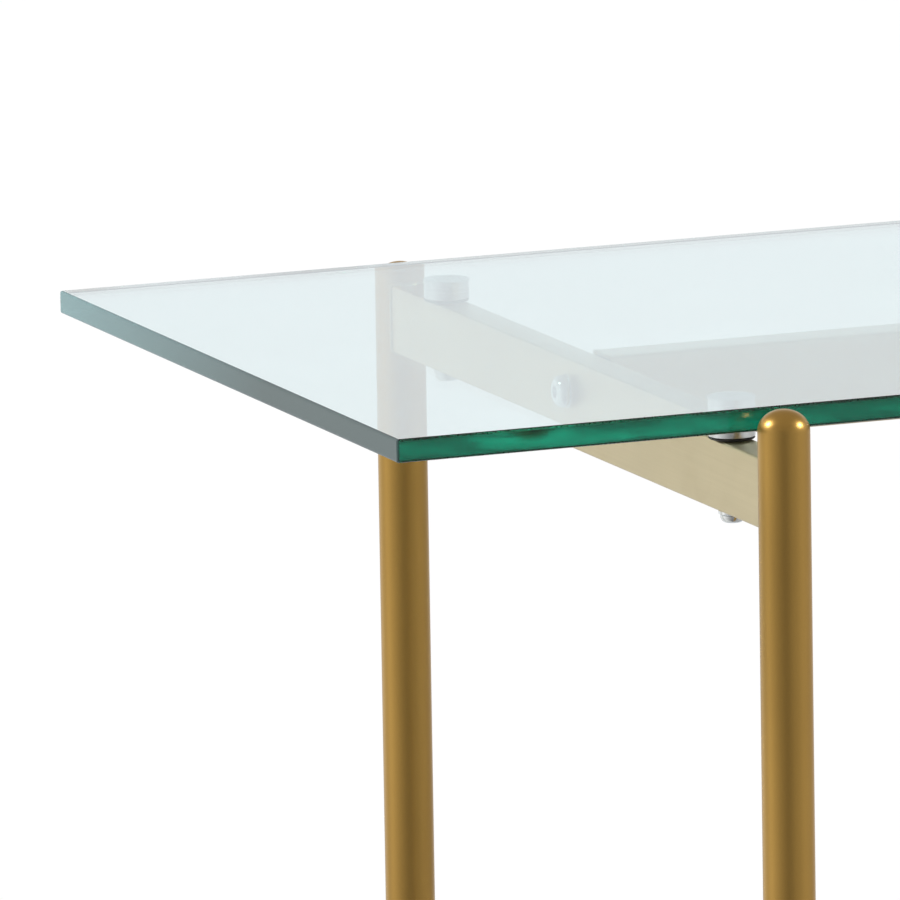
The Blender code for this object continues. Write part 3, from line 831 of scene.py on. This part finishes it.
class DRESSING_OT_glass_top(bpy.types.Operator):
    """Make the sheet of glass"""

    bl_idname = "dressing_table.glass_top"
    bl_label = "Glass Top"

    def execute(self, context):
        settings = context.scene.table_glass
        mesh = glass_slab(settings)
        piece("glass_sheet", mesh, clear_glass(settings), ["glass_top"])
        for edge in (long_edge, end_edge, ground_arris):
            mesh.materials.append(edge(settings))
        for face in mesh.polygons:
            across, outward, upward = (abs(share) for share in face.normal)
            if upward > 1 - NORMAL_SLACK:
                face.material_index = FACE_SLOT
            elif outward > 1 - NORMAL_SLACK:
                face.material_index = LONG_EDGE_SLOT
            elif across > NORMAL_SLACK:
                face.material_index = END_EDGE_SLOT
            else:
                face.material_index = ARRIS_SLOT
        return {"FINISHED"}


class DRESSING_OT_legs(bpy.types.Operator):
    """Make the four round legs with their domes"""

    bl_idname = "dressing_table.legs"
    bl_label = "Legs"

    def execute(self, context):
        settings = context.scene.table_tubes
        look = satin_gold(settings)
        post = round_post_tree()
        values = {
            "Radius": LEG_RADIUS,
            "Base": LEG_BASE,
            "Rim": settings.leg_rim,
            "Dome Rings": settings.dome_rings,
            "Segments": settings.leg_segments,
            "Material": look,
        }
        for corner, at in LEG_AT.items():
            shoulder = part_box(f"leg_{corner}")[1].z
            values["Shoulder"] = shoulder
            values["Dome Height"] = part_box(f"leg_cap_{corner}")[1].z - shoulder
            name = f"domed_leg_{corner}"
            mesh = grown(name, post, values)
            if abs(max(vertex.co.x for vertex in mesh.vertices) - LEG_RADIUS) > MERGE_DISTANCE:
                raise RuntimeError("a leg did not come out at its radius")
            mesh.transform(Matrix.Translation((at.x, at.y, 0)))
            piece(name, mesh, look, [f"leg_{corner}", f"leg_cap_{corner}"])
        return {"FINISHED"}


def leg_side(x):
    """How far the side of a leg stands out along Y from its axis, at a distance across it."""
    return math.sqrt(LEG_RADIUS**2 - x**2)


def weld_path(settings, corner):
    """The closed line where a crossbar meets its leg."""
    at = LEG_AT[corner]
    inwards = -math.copysign(1, at.y)
    centre_z = (CROSSBAR_TOP + CROSSBAR_UNDERSIDE) / 2
    size = CROSSBAR_SIZE
    outline = rounded_rectangle(size.x, size.z, settings.corner, settings.corner_steps, WELD_FLATS)
    points = [(at.x + x, at.y + inwards * leg_side(x), centre_z + z) for x, z in outline]
    mesh = bpy.data.meshes.new(f"weld_path_{corner}")
    mesh.from_pydata(points, [(i, (i + 1) % len(points)) for i in range(len(points))], [])
    return mesh


class DRESSING_OT_crossbars(bpy.types.Operator):
    """Make the two crossbars and the welds at their ends"""

    bl_idname = "dressing_table.crossbars"
    bl_label = "Crossbars"

    def execute(self, context):
        settings = context.scene.table_tubes
        look = champagne_gold(settings, "champagne_plate_crossbar", (1, 0.02, 1))
        reach = LEG_AT["rear_left"].y
        size = CROSSBAR_SIZE
        tube = box_tube("crossbar", size.x, size.z, settings, lambda x: reach - leg_side(x), BAR_FLATS)
        for side in SIDES:
            name = f"coped_crossbar_{side}"
            mesh = moved(tube, name, Matrix.Translation(middle(f"crossbar_{side}")))
            piece(name, mesh, look, [f"crossbar_{side}"])
        bead, weld_look = bead_tree(), weld_metal(settings)
        values = {
            "Bead Radius": settings.weld_radius,
            "Ripples": float(settings.weld_ripples),
            "Ripple Depth": RIPPLE_DEPTH,
            "Points": settings.weld_ripples * RIPPLE_POINTS,
            "Material": weld_look,
        }
        for corner in CORNERS:
            mesh = grown(f"weld_{corner}", bead, values, weld_path(settings, corner))
            piece(f"weld_{corner}", mesh, weld_look, [])
        return {"FINISHED"}


class DRESSING_OT_rail(bpy.types.Operator):
    """Make the centre rail and finish the plates in its ends"""

    bl_idname = "dressing_table.rail"
    bl_label = "Rail"

    def execute(self, context):
        settings = context.scene.table_tubes
        look = champagne_gold(settings, "champagne_plate_rail", (0.02, 1, 1))
        tube = box_tube("rail", RAIL_SIZE.y, RAIL_SIZE.z, settings, lambda across: RAIL_SIZE.x / 2, 1)
        along_x = Matrix.Rotation(math.pi / 2, 4, "Z")
        mesh = moved(tube, "rail_tube", Matrix.Translation(middle("centre_rail")) @ along_x)
        piece("rail_tube", mesh, look, ["centre_rail"])
        plate_look = dark_plate()
        for node in both_sides("rail_end_plate"):
            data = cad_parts[node].data
            data.materials.clear()
            data.materials.append(plate_look)
        return {"FINISHED"}


def button_head(name, radius, thread, height, shank, segments):
    """A button-head bolt that stands on zero height, with its shank below."""
    rim = height * BUTTON_RIM
    flat = radius * BUTTON_FLAT
    crown = arc((flat, rim), (radius - flat, height - rim), 0, 90, BUTTON_STEPS)
    outline = [(0.0, height)] + crown[::-1]
    outline += arc((radius - rim / 2, rim / 2), (rim / 2, rim / 2), 0, -90, RIM_STEPS)
    outline += [(thread, 0.0), (thread, -shank), (0.0, -shank)]
    return turned(name, outline, segments)


def split_ring(name, inner, outer, thickness, segments):
    """A flattened spring washer, its slanting split at +Y."""
    width = outer - inner
    corners = rounded_rectangle(width, thickness, WASHER_CORNER, WASHER_CORNER_STEPS)
    section = [(inner + width / 2 + x, thickness / 2 + z) for x, z in corners]
    start, sweep = (math.pi + WASHER_SPLIT) / 2, math.tau - WASHER_SPLIT
    rings = []
    for step in range(segments + 1):
        ring = []
        for radius, z in section:
            turn = start + sweep * step / segments + WASHER_SPLIT * (z / thickness - 0.5)
            ring.append((radius * math.cos(turn), radius * math.sin(turn), z))
        rings.append(ring)
    return joined_rings(name, rings, closed=False)


class DRESSING_OT_rail_fasteners(bpy.types.Operator):
    """Make the rail bolts and their spring washers"""

    bl_idname = "dressing_table.rail_fasteners"
    bl_label = "Rail Fasteners"

    def execute(self, context):
        settings = context.scene.table_fittings
        look = bright_zinc(settings)
        washer_low, washer_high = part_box("spring_washer_right")
        seat = washer_high.x + (washer_low.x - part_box("crossbar_right")[1].x)
        radius = (BOLT_HIGH.z - BOLT_LOW.z) / 2
        height = BOLT_HIGH.x - seat
        shank = radius * BOLT_SHANK
        bolt = button_head("rail_bolts", radius, shank, height, seat - BOLT_LOW.x, settings.segments)
        bolt = with_hexagon_cut(bolt, settings.bolt_socket, height * settings.socket_depth, height)
        # Both stand along +X at the right end; the tree turns the left ones to face -X.
        at_axis = Matrix.Translation((0, 0, (BOLT_LOW.z + BOLT_HIGH.z) / 2))
        bolt.transform(at_axis @ Matrix.Rotation(math.pi / 2, 4, "Y"))
        copies = copies_tree()
        values = {"Half X": seat, "Half Y": 0.0, "Rows": 1, "Material": look}
        piece("rail_bolts", grown("rail_bolts", copies, values, bolt), look, both_sides("rail_bolt"))
        outer = (washer_high.z - washer_low.z) / 2
        thickness = washer_high.x - washer_low.x
        ring = split_ring("spring_washers", shank + WASHER_PLAY, outer, thickness, settings.segments)
        # The split is turned from +Y to +Z, and the ring then from facing -Y to facing +X.
        split_up = Matrix.Rotation(math.pi / 2, 4, "X")
        ring.transform(at_axis @ Matrix.Rotation(math.pi / 2, 4, "Z") @ split_up)
        values["Half X"] = washer_low.x
        mesh = grown("spring_washers", copies, values, ring)
        piece("spring_washers", mesh, look, both_sides("spring_washer"))
        return {"FINISHED"}


def with_turning_map(mesh):
    """Adds a UV map whose U runs round the Z axis and V along the outline."""
    layer = mesh.uv_layers.new(name=TURNING_MAP)
    for face in mesh.polygons:
        around = math.atan2(face.center.y, face.center.x)
        for loop in face.loop_indices:
            point = mesh.vertices[mesh.loops[loop].vertex_index].co
            radius = math.hypot(point.x, point.y)
            turn = math.atan2(point.y, point.x) if radius > POLE_RADIUS else around
            turn += math.tau * round((around - turn) / math.tau)
            layer.data[loop].uv = (turn / math.tau, radius + point.z)
    return mesh


class DRESSING_OT_glass_supports(bpy.types.Operator):
    """Make the pucks under the glass, their rubber and plain washers and their screws"""

    bl_idname = "dressing_table.glass_supports"
    bl_label = "Glass Supports"

    def execute(self, context):
        settings = context.scene.table_fittings
        rubber_colour = context.scene.table_feet.rubber_colour
        copies = copies_tree()
        values = {"Half X": PUCK_AT.x, "Half Y": PUCK_AT.y, "Rows": 2}
        segments, cut = settings.segments, settings.chamfer
        zinc = bpy.data.materials["bright_zinc_plate"]
        rubber = moulded("black_rubber", rubber_colour, roughness=0.78, grain_scale=1500.0)

        def lay_out(name, mesh, look, prefix):
            mesh = grown(name, copies, {**values, "Material": look}, mesh)
            piece(name, mesh, look, all_corners(prefix))

        def washer(prefix, bore, edge, look):
            low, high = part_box(f"{prefix}_rear_right")
            outline = chamfered(bore, (high.x - low.x) / 2, low.z, high.z, edge)
            lay_out(f"{prefix}s", turned(f"{prefix}s", outline, segments, True), look, prefix)

        low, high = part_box("glass_puck_rear_right")
        radius = (high.x - low.x) / 2
        waist = radius - FLANGE_OVERHANG
        flange = high.z - FLANGE_HEIGHT
        outline = [
            (0.0, low.z),
            (waist - cut, low.z),
            (waist, low.z + cut),
            (waist, flange),
            (radius - cut, flange),
            (radius, flange + cut),
            (radius, high.z - cut),
            (radius - cut, high.z),
            (radius * FACE_RIM, high.z),
            (radius * FACE_DISH, high.z - cut / 2),
            (radius * FACE_CENTRE, high.z - cut / 2),
            (0.0, high.z - 2 * cut),
        ]
        puck = with_turning_map(turned("glass_pucks", outline, segments))
        lay_out("glass_pucks", puck, turned_steel(settings), "glass_puck")
        washer("rubber_washer", RUBBER_BORE, extent("rubber_washer_rear_right").z / 3, rubber)
        washer("screw_washer", SCREW_WASHER_BORE, cut, zinc)

        low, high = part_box("screw_washer_rear_right")
        seat = low.z - (CROSSBAR_UNDERSIDE - high.z)
        low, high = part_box("puck_screw_rear_right")
        height = seat - low.z
        radius = (high.x - low.x) / 2
        screw = button_head("puck_screws", radius, SCREW_RADIUS, height, high.z - seat, segments)
        screw = with_hexagon_cut(screw, settings.screw_socket, height * settings.socket_depth, height)
        screw.transform(Matrix.Translation((0, 0, seat)) @ Matrix.Rotation(math.pi, 4, "X"))
        lay_out("puck_screws", screw, zinc, "puck_screw")
        return {"FINISHED"}


def grip_pad(grip_count, low, high):
    """A round pad with notched sides and a socket for the stem."""
    radius = (high.x - low.x) / 2
    top = high.z
    side_low, side_high = PAD_FOOT[-1][1], top - PAD_TOP_ROUND
    outline = [(0.0, 0.0)] + [(radius - inset, height) for inset, height in PAD_FOOT]
    outline += arc((radius - PAD_TOP_ROUND, side_high), (PAD_TOP_ROUND, PAD_TOP_ROUND), 0, 90, PAD_TOP_STEPS)
    outline += [(STEM_BORE + FINE_CUT, top), (STEM_BORE, top - FINE_CUT)]
    outline += [(STEM_BORE, top - PAD_SOCKET), (0.0, top - PAD_SOCKET)]
    pad = turned("pad", outline, grip_count * GRIP_POINTS)
    for vertex in pad.vertices:
        around = math.atan2(vertex.co.y, vertex.co.x)
        distance = math.hypot(vertex.co.x, vertex.co.y)
        if side_low <= vertex.co.z <= side_high and distance > radius - GRIP_DEPTH:
            share = 1 - GRIP_DEPTH / radius * max(0.0, math.cos(grip_count * around)) ** 2
            vertex.co.x *= share
            vertex.co.y *= share
    return pad


def stem_round(low, high, hex_high, segments):
    """The round of a stem: plain up to the top of its hexagon, then down to the thread's root."""
    root = STEM_RADIUS - THREAD_DEPTH
    outline = [
        (0.0, low.z),
        (STEM_RADIUS - FINE_CUT, low.z),
        (STEM_RADIUS, low.z + FINE_CUT),
        (STEM_RADIUS, hex_high),
        (root, hex_high + FINE_CUT),
        (root, high.z - STEM_TIP),
        (root - TIP_INSET, high.z),
        (0.0, high.z),
    ]
    return turned("stem_round", outline, segments)


def stem_hexagon(low, high):
    """The spanner hexagon, with its corners turned off at top and bottom."""
    radius = SPANNER_WIDTH / math.cos(math.pi / HEX_SIDES) / 2
    turns = [math.tau * k / HEX_SIDES for k in range(HEX_SIDES)]
    levels = ((low, HEX_CORNER), (low + HEX_CHAMFER, 1.0), (high - HEX_CHAMFER, 1.0), (high, HEX_CORNER))
    rings = [
        [(share * radius * math.cos(turn), share * radius * math.sin(turn), z) for turn in turns]
        for z, share in levels
    ]
    return joined_rings("stem_hexagon", rings, closed=False)


def insert_ring(low, high, segments):
    """A threaded insert: a plug in the tube over a flange as wide as the leg."""
    flange_top = LEG_BASE - FLANGE_GAP
    plug = LEG_RADIUS - PLUG_STEP
    outline = [
        (STEM_BORE, low.z),
        (LEG_RADIUS - INSERT_ROUND, low.z),
        (LEG_RADIUS, low.z + INSERT_ROUND),
        (LEG_RADIUS, flange_top - FINE_CUT),
        (LEG_RADIUS - FINE_CUT, flange_top),
        (plug, flange_top),
        (plug, high.z - INSERT_ROUND),
        (plug - INSERT_ROUND, high.z),
        (STEM_BORE, high.z),
    ]
    return turned("leg_inserts", outline, segments, ring=True)


class DRESSING_OT_feet(bpy.types.Operator):
    """Make the inserts, the stems and the pads of the levelling feet"""

    bl_idname = "dressing_table.feet"
    bl_label = "Levelling Feet"

    def execute(self, context):
        settings = context.scene.table_feet
        segments = context.scene.table_fittings.segments
        nylon = moulded("black_nylon", settings.nylon_colour, roughness=0.48, grain_scale=2200.0)
        zinc = bpy.data.materials["bright_zinc_plate"]
        insert_low, insert_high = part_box("leg_insert_front_left")
        at = LEG_AT["rear_right"]
        values = {"Half X": at.x, "Half Y": at.y, "Rows": 2, "Material": nylon}
        mesh = grown("leg_inserts", copies_tree(), values, insert_ring(insert_low, insert_high, segments))
        piece("leg_inserts", mesh, nylon, all_corners("leg_insert"))

        pad_low, pad_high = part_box("foot_pad_front_left")
        pad = grip_pad(settings.grip_count, pad_low, pad_high)
        stem_low, stem_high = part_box("foot_stem_front_left")
        hex_high = insert_low.z - HEX_TO_INSERT
        shape = bmesh.new()
        shape.from_mesh(stem_round(stem_low, stem_high, hex_high, segments))
        shape.from_mesh(stem_hexagon(pad_high.z + HEX_TO_PAD, hex_high))
        length = stem_high.z - hex_high - THREAD_RUN_OUT
        thread = {
            "Root Radius": STEM_RADIUS - THREAD_DEPTH,
            "Ridge": THREAD_RIDGE,
            "Turns": length / settings.thread_pitch,
            "Base": hex_high + THREAD_START,
            "Length": length,
            "Material": zinc,
        }
        stem = grown("foot_stem", thread_tree(), thread, mesh_from(shape, "stem"))
        for corner, at in LEG_AT.items():
            under = Matrix.Translation((at.x, at.y, 0))
            name = f"levelling_pad_{corner}"
            piece(name, moved(pad, name, under), nylon, [f"foot_pad_{corner}"], f"pad_{corner}")
            name = f"levelling_stem_{corner}"
            piece(name, moved(stem, name, under), zinc, [f"foot_stem_{corner}"], f"stem_{corner}")
        return {"FINISHED"}


# Stage


# The floor's glow: its share near the table and further out, the distances that part them, and its strength.
NEAR_GLOW, FAR_GLOW = 0.42, 1.0
NEAR_FLOOR, FAR_FLOOR = 0.8, 2.0
GLOW_STRENGTH = 1.01
FLOOR_SIDES = 96
# Light from each heading, as (share of a turn, colour): 0 is behind the table, 0.25 to the camera's left,
# 0.5 on the camera's side and 0.75 to its right.
BACK_LIGHT = (0.575, 0.590, 0.615)
HEADING_LIGHT = (
    (0.000, BACK_LIGHT),
    (0.070, BACK_LIGHT),
    (0.125, (0.70, 0.72, 0.70)),
    (0.200, (0.46, 0.46, 0.44)),
    (0.262, (0.72, 0.72, 0.70)),
    (0.330, (0.50, 0.50, 0.49)),
    (0.410, (0.30, 0.30, 0.29)),
    (0.480, (0.17, 0.17, 0.17)),
    (0.530, (0.17, 0.17, 0.17)),
    (0.580, (0.30, 0.30, 0.29)),
    (0.640, (0.33, 0.33, 0.32)),
    (0.700, (0.44, 0.44, 0.43)),
    (0.760, (0.40, 0.40, 0.39)),
    (0.860, (0.36, 0.36, 0.36)),
    (0.930, BACK_LIGHT),
    (1.000, BACK_LIGHT),
)
# Share of that light from straight down, at 0, to level, at a half.
HEIGHT_LIGHT = ((0.0, 0.70), (0.35, 0.95), (0.50, 1.0))
# Above level it turns into the same light from every heading, between these sines of its height.
BAND_COLOUR = (0.22, 0.205, 0.19)
BAND_START, BAND_FULL = 0.22, 0.55
# The lamps: headings from the camera's side, height angle, distance and size.
LAMP_HEADINGS = {"left_lamp": math.radians(-85), "right_lamp": math.radians(80)}
LAMP_HEIGHT = math.radians(33)
LAMP_DISTANCE = 2.4
LAMP_SIZE = 0.5
FARTHEST_SEEN = 200.0


def floor_material(settings):
    """Partly matt and partly glowing near the table, and only glowing further out."""
    made = bpy.data.materials.new("pale_floor")
    made.use_nodes = True
    made.node_tree.nodes.clear()
    tree = Tree(made.node_tree)
    place = tree.node("ShaderNodeTexCoord").outputs["Object"]
    distance = tree.node("ShaderNodeVectorMath", {0: place}, operation="LENGTH").outputs["Value"]
    inputs = {
        "Value": distance,
        "From Min": NEAR_FLOOR,
        "From Max": FAR_FLOOR,
        "To Min": NEAR_GLOW,
        "To Max": FAR_GLOW,
    }
    fade = tree.node("ShaderNodeMapRange", inputs, interpolation_type="SMOOTHSTEP")
    matt = tree.node("ShaderNodeBsdfDiffuse", {"Color": (*settings.floor_colour, 1.0)})
    lit = tree.node("ShaderNodeEmission", {"Strength": GLOW_STRENGTH})
    mix = tree.node("ShaderNodeMixShader", {0: fade.outputs[0], 1: matt.outputs[0], 2: lit.outputs[0]})
    tree.node("ShaderNodeOutputMaterial", {"Surface": mix.outputs[0]})
    return made


def make_floor(settings):
    shape = bmesh.new()
    bmesh.ops.create_circle(shape, cap_ends=True, segments=FLOOR_SIDES, radius=settings.floor_radius)
    floor = linked("floor", mesh_from(shape, "floor"))
    floor.data.materials.append(floor_material(settings))
    # Reflections skip the floor and show the surrounding light from below the horizon instead.
    floor.visible_glossy = False


def ramp(tree, value, stops):
    made = tree.node("ShaderNodeValToRGB", {0: value})
    elements = made.color_ramp.elements
    while len(elements) > 1:
        elements.remove(elements[-1])
    for place, (position, colour) in enumerate(stops):
        element = elements[0] if place == 0 else elements.new(position)
        element.position = position
        element.color = (*colour, 1.0) if isinstance(colour, tuple) else (colour, colour, colour, 1.0)
    return made.outputs[0]


def make_world(settings):
    """Soft light that changes with heading and height, and a plain white backdrop for the camera."""
    world = bpy.data.worlds.new("studio")
    bpy.context.scene.world = world
    world.use_nodes = True
    world.node_tree.nodes.clear()
    tree = Tree(world.node_tree)

    def weighed(x, x_share, y, y_share):
        return tree.maths("ADD", tree.maths("MULTIPLY", x, x_share), tree.maths("MULTIPLY", y, y_share))

    direction = tree.node("ShaderNodeTexCoord").outputs["Generated"]
    x, y, z = tree.node("ShaderNodeSeparateXYZ", {0: direction}).outputs
    sine, cosine = math.sin(settings.camera_turn), math.cos(settings.camera_turn)
    turn = tree.maths("ARCTAN2", weighed(x, cosine, y, -sine), weighed(x, -sine, y, -cosine))
    heading = tree.maths("ADD", tree.maths("DIVIDE", turn, math.tau), 0.5)
    height = tree.maths("ADD", tree.maths("MULTIPLY", z, 0.5), 0.5)
    rise = tree.node("ShaderNodeMapRange", {"Value": z, "From Min": BAND_START, "From Max": BAND_FULL})
    sides = {0: rise.outputs[0], 6: ramp(tree, heading, HEADING_LIGHT), 7: (*BAND_COLOUR, 1.0)}
    band = tree.node("ShaderNodeMix", sides, data_type="RGBA")
    shares = {0: 1.0, 6: band.outputs[2], 7: ramp(tree, height, HEIGHT_LIGHT)}
    mix = tree.node("ShaderNodeMix", shares, data_type="RGBA", blend_type="MULTIPLY")
    light = tree.node("ShaderNodeBackground", {"Strength": settings.light_strength, "Color": mix.outputs[2]})
    backdrop = tree.node("ShaderNodeBackground", {"Color": (*WHITE, 1.0)})
    seen = tree.node("ShaderNodeLightPath").outputs["Is Camera Ray"]
    choose = tree.node("ShaderNodeMixShader", {0: seen, 1: light.outputs[0], 2: backdrop.outputs[0]})
    tree.node("ShaderNodeOutputWorld", {"Surface": choose.outputs[0]})


def side_lamp(settings, name, heading):
    """A square soft lamp aimed at the table top, at a heading from the camera's side."""
    turn = settings.camera_turn
    nearer = Vector((-math.sin(turn), -math.cos(turn), 0))
    rightwards = Vector((math.cos(turn), -math.sin(turn), 0))
    level = nearer * math.cos(heading) + rightwards * math.sin(heading)
    direction = level * math.cos(LAMP_HEIGHT) + Vector((0, 0, 1)) * math.sin(LAMP_HEIGHT)
    data = bpy.data.lights.new(name, "AREA")
    data.energy = settings.lamp_power
    data.size = LAMP_SIZE
    lamp = linked(name, data)
    lamp.location = Vector((0, 0, GLASS_HIGH.z)) + direction * LAMP_DISTANCE
    lamp.rotation_euler = direction.to_track_quat("Z", "Y").to_euler()
    lamp.visible_camera = False


def make_camera(settings):
    turn, dip, roll = settings.camera_turn, settings.camera_dip, settings.camera_roll
    ahead = Vector((math.sin(turn) * math.cos(dip), math.cos(turn) * math.cos(dip), -math.sin(dip)))
    level_right = Vector((math.cos(turn), -math.sin(turn), 0))
    level_up = level_right.cross(ahead)
    right = level_right * math.cos(roll) + level_up * math.sin(roll)
    up = level_up * math.cos(roll) - level_right * math.sin(roll)
    data = bpy.data.cameras.new("camera")
    data.lens = settings.focal_length
    data.clip_end = FARTHEST_SEEN
    camera = linked("camera", data)
    camera.matrix_world = (
        Matrix.Translation(settings.camera_place) @ Matrix((right, up, -ahead)).transposed().to_4x4()
    )
    bpy.context.scene.camera = camera


class DRESSING_OT_stage(bpy.types.Operator):
    """Make the floor, the light and the camera"""

    bl_idname = "dressing_table.stage"
    bl_label = "Stage"

    def execute(self, context):
        settings = context.scene.table_stage
        scene = context.scene
        scene.view_settings.view_transform = "Standard"
        # Light crosses the glass lengthwise by many internal reflections.
        scene.cycles.max_bounces = 32
        scene.cycles.glossy_bounces = 24
        scene.cycles.transmission_bounces = 24
        make_floor(settings)
        make_world(settings)
        for name, heading in LAMP_HEADINGS.items():
            side_lamp(settings, name, heading)
        make_camera(settings)
        return {"FINISHED"}


# Panel and registration


OPERATORS = (
    DRESSING_OT_stage,
    DRESSING_OT_glass_top,
    DRESSING_OT_legs,
    DRESSING_OT_crossbars,
    DRESSING_OT_rail,
    DRESSING_OT_rail_fasteners,
    DRESSING_OT_glass_supports,
    DRESSING_OT_feet,
)
SETTINGS = {
    "table_glass": GlassSettings,
    "table_tubes": TubeSettings,
    "table_fittings": FittingSettings,
    "table_feet": FootSettings,
    "table_stage": StageSettings,
}


class DRESSING_PT_finish(bpy.types.Panel):
    """Lists the operators that build the table"""

    bl_idname = "DRESSING_PT_finish"
    bl_label = "Dressing Table"
    bl_space_type = "VIEW_3D"
    bl_region_type = "UI"
    bl_category = "Table"

    def draw(self, context):
        column = self.layout.column()
        for operator in OPERATORS:
            column.operator(operator.bl_idname, text=operator.bl_label)


def register():
    for group in SETTINGS.values():
        bpy.utils.register_class(group)
    for name, group in SETTINGS.items():
        setattr(bpy.types.Scene, name, PointerProperty(type=group))
    for operator in OPERATORS:
        bpy.utils.register_class(operator)
    bpy.utils.register_class(DRESSING_PT_finish)


def unregister():
    bpy.utils.unregister_class(DRESSING_PT_finish)
    for operator in reversed(OPERATORS):
        bpy.utils.unregister_class(operator)
    for name in SETTINGS:
        delattr(bpy.types.Scene, name)
    for group in reversed(SETTINGS.values()):
        bpy.utils.unregister_class(group)


def main():
    register()
    for operator in OPERATORS:
        group, action = operator.bl_idname.split(".")
        getattr(getattr(bpy.ops, group), action)()


if __name__ == "__main__":
    main()
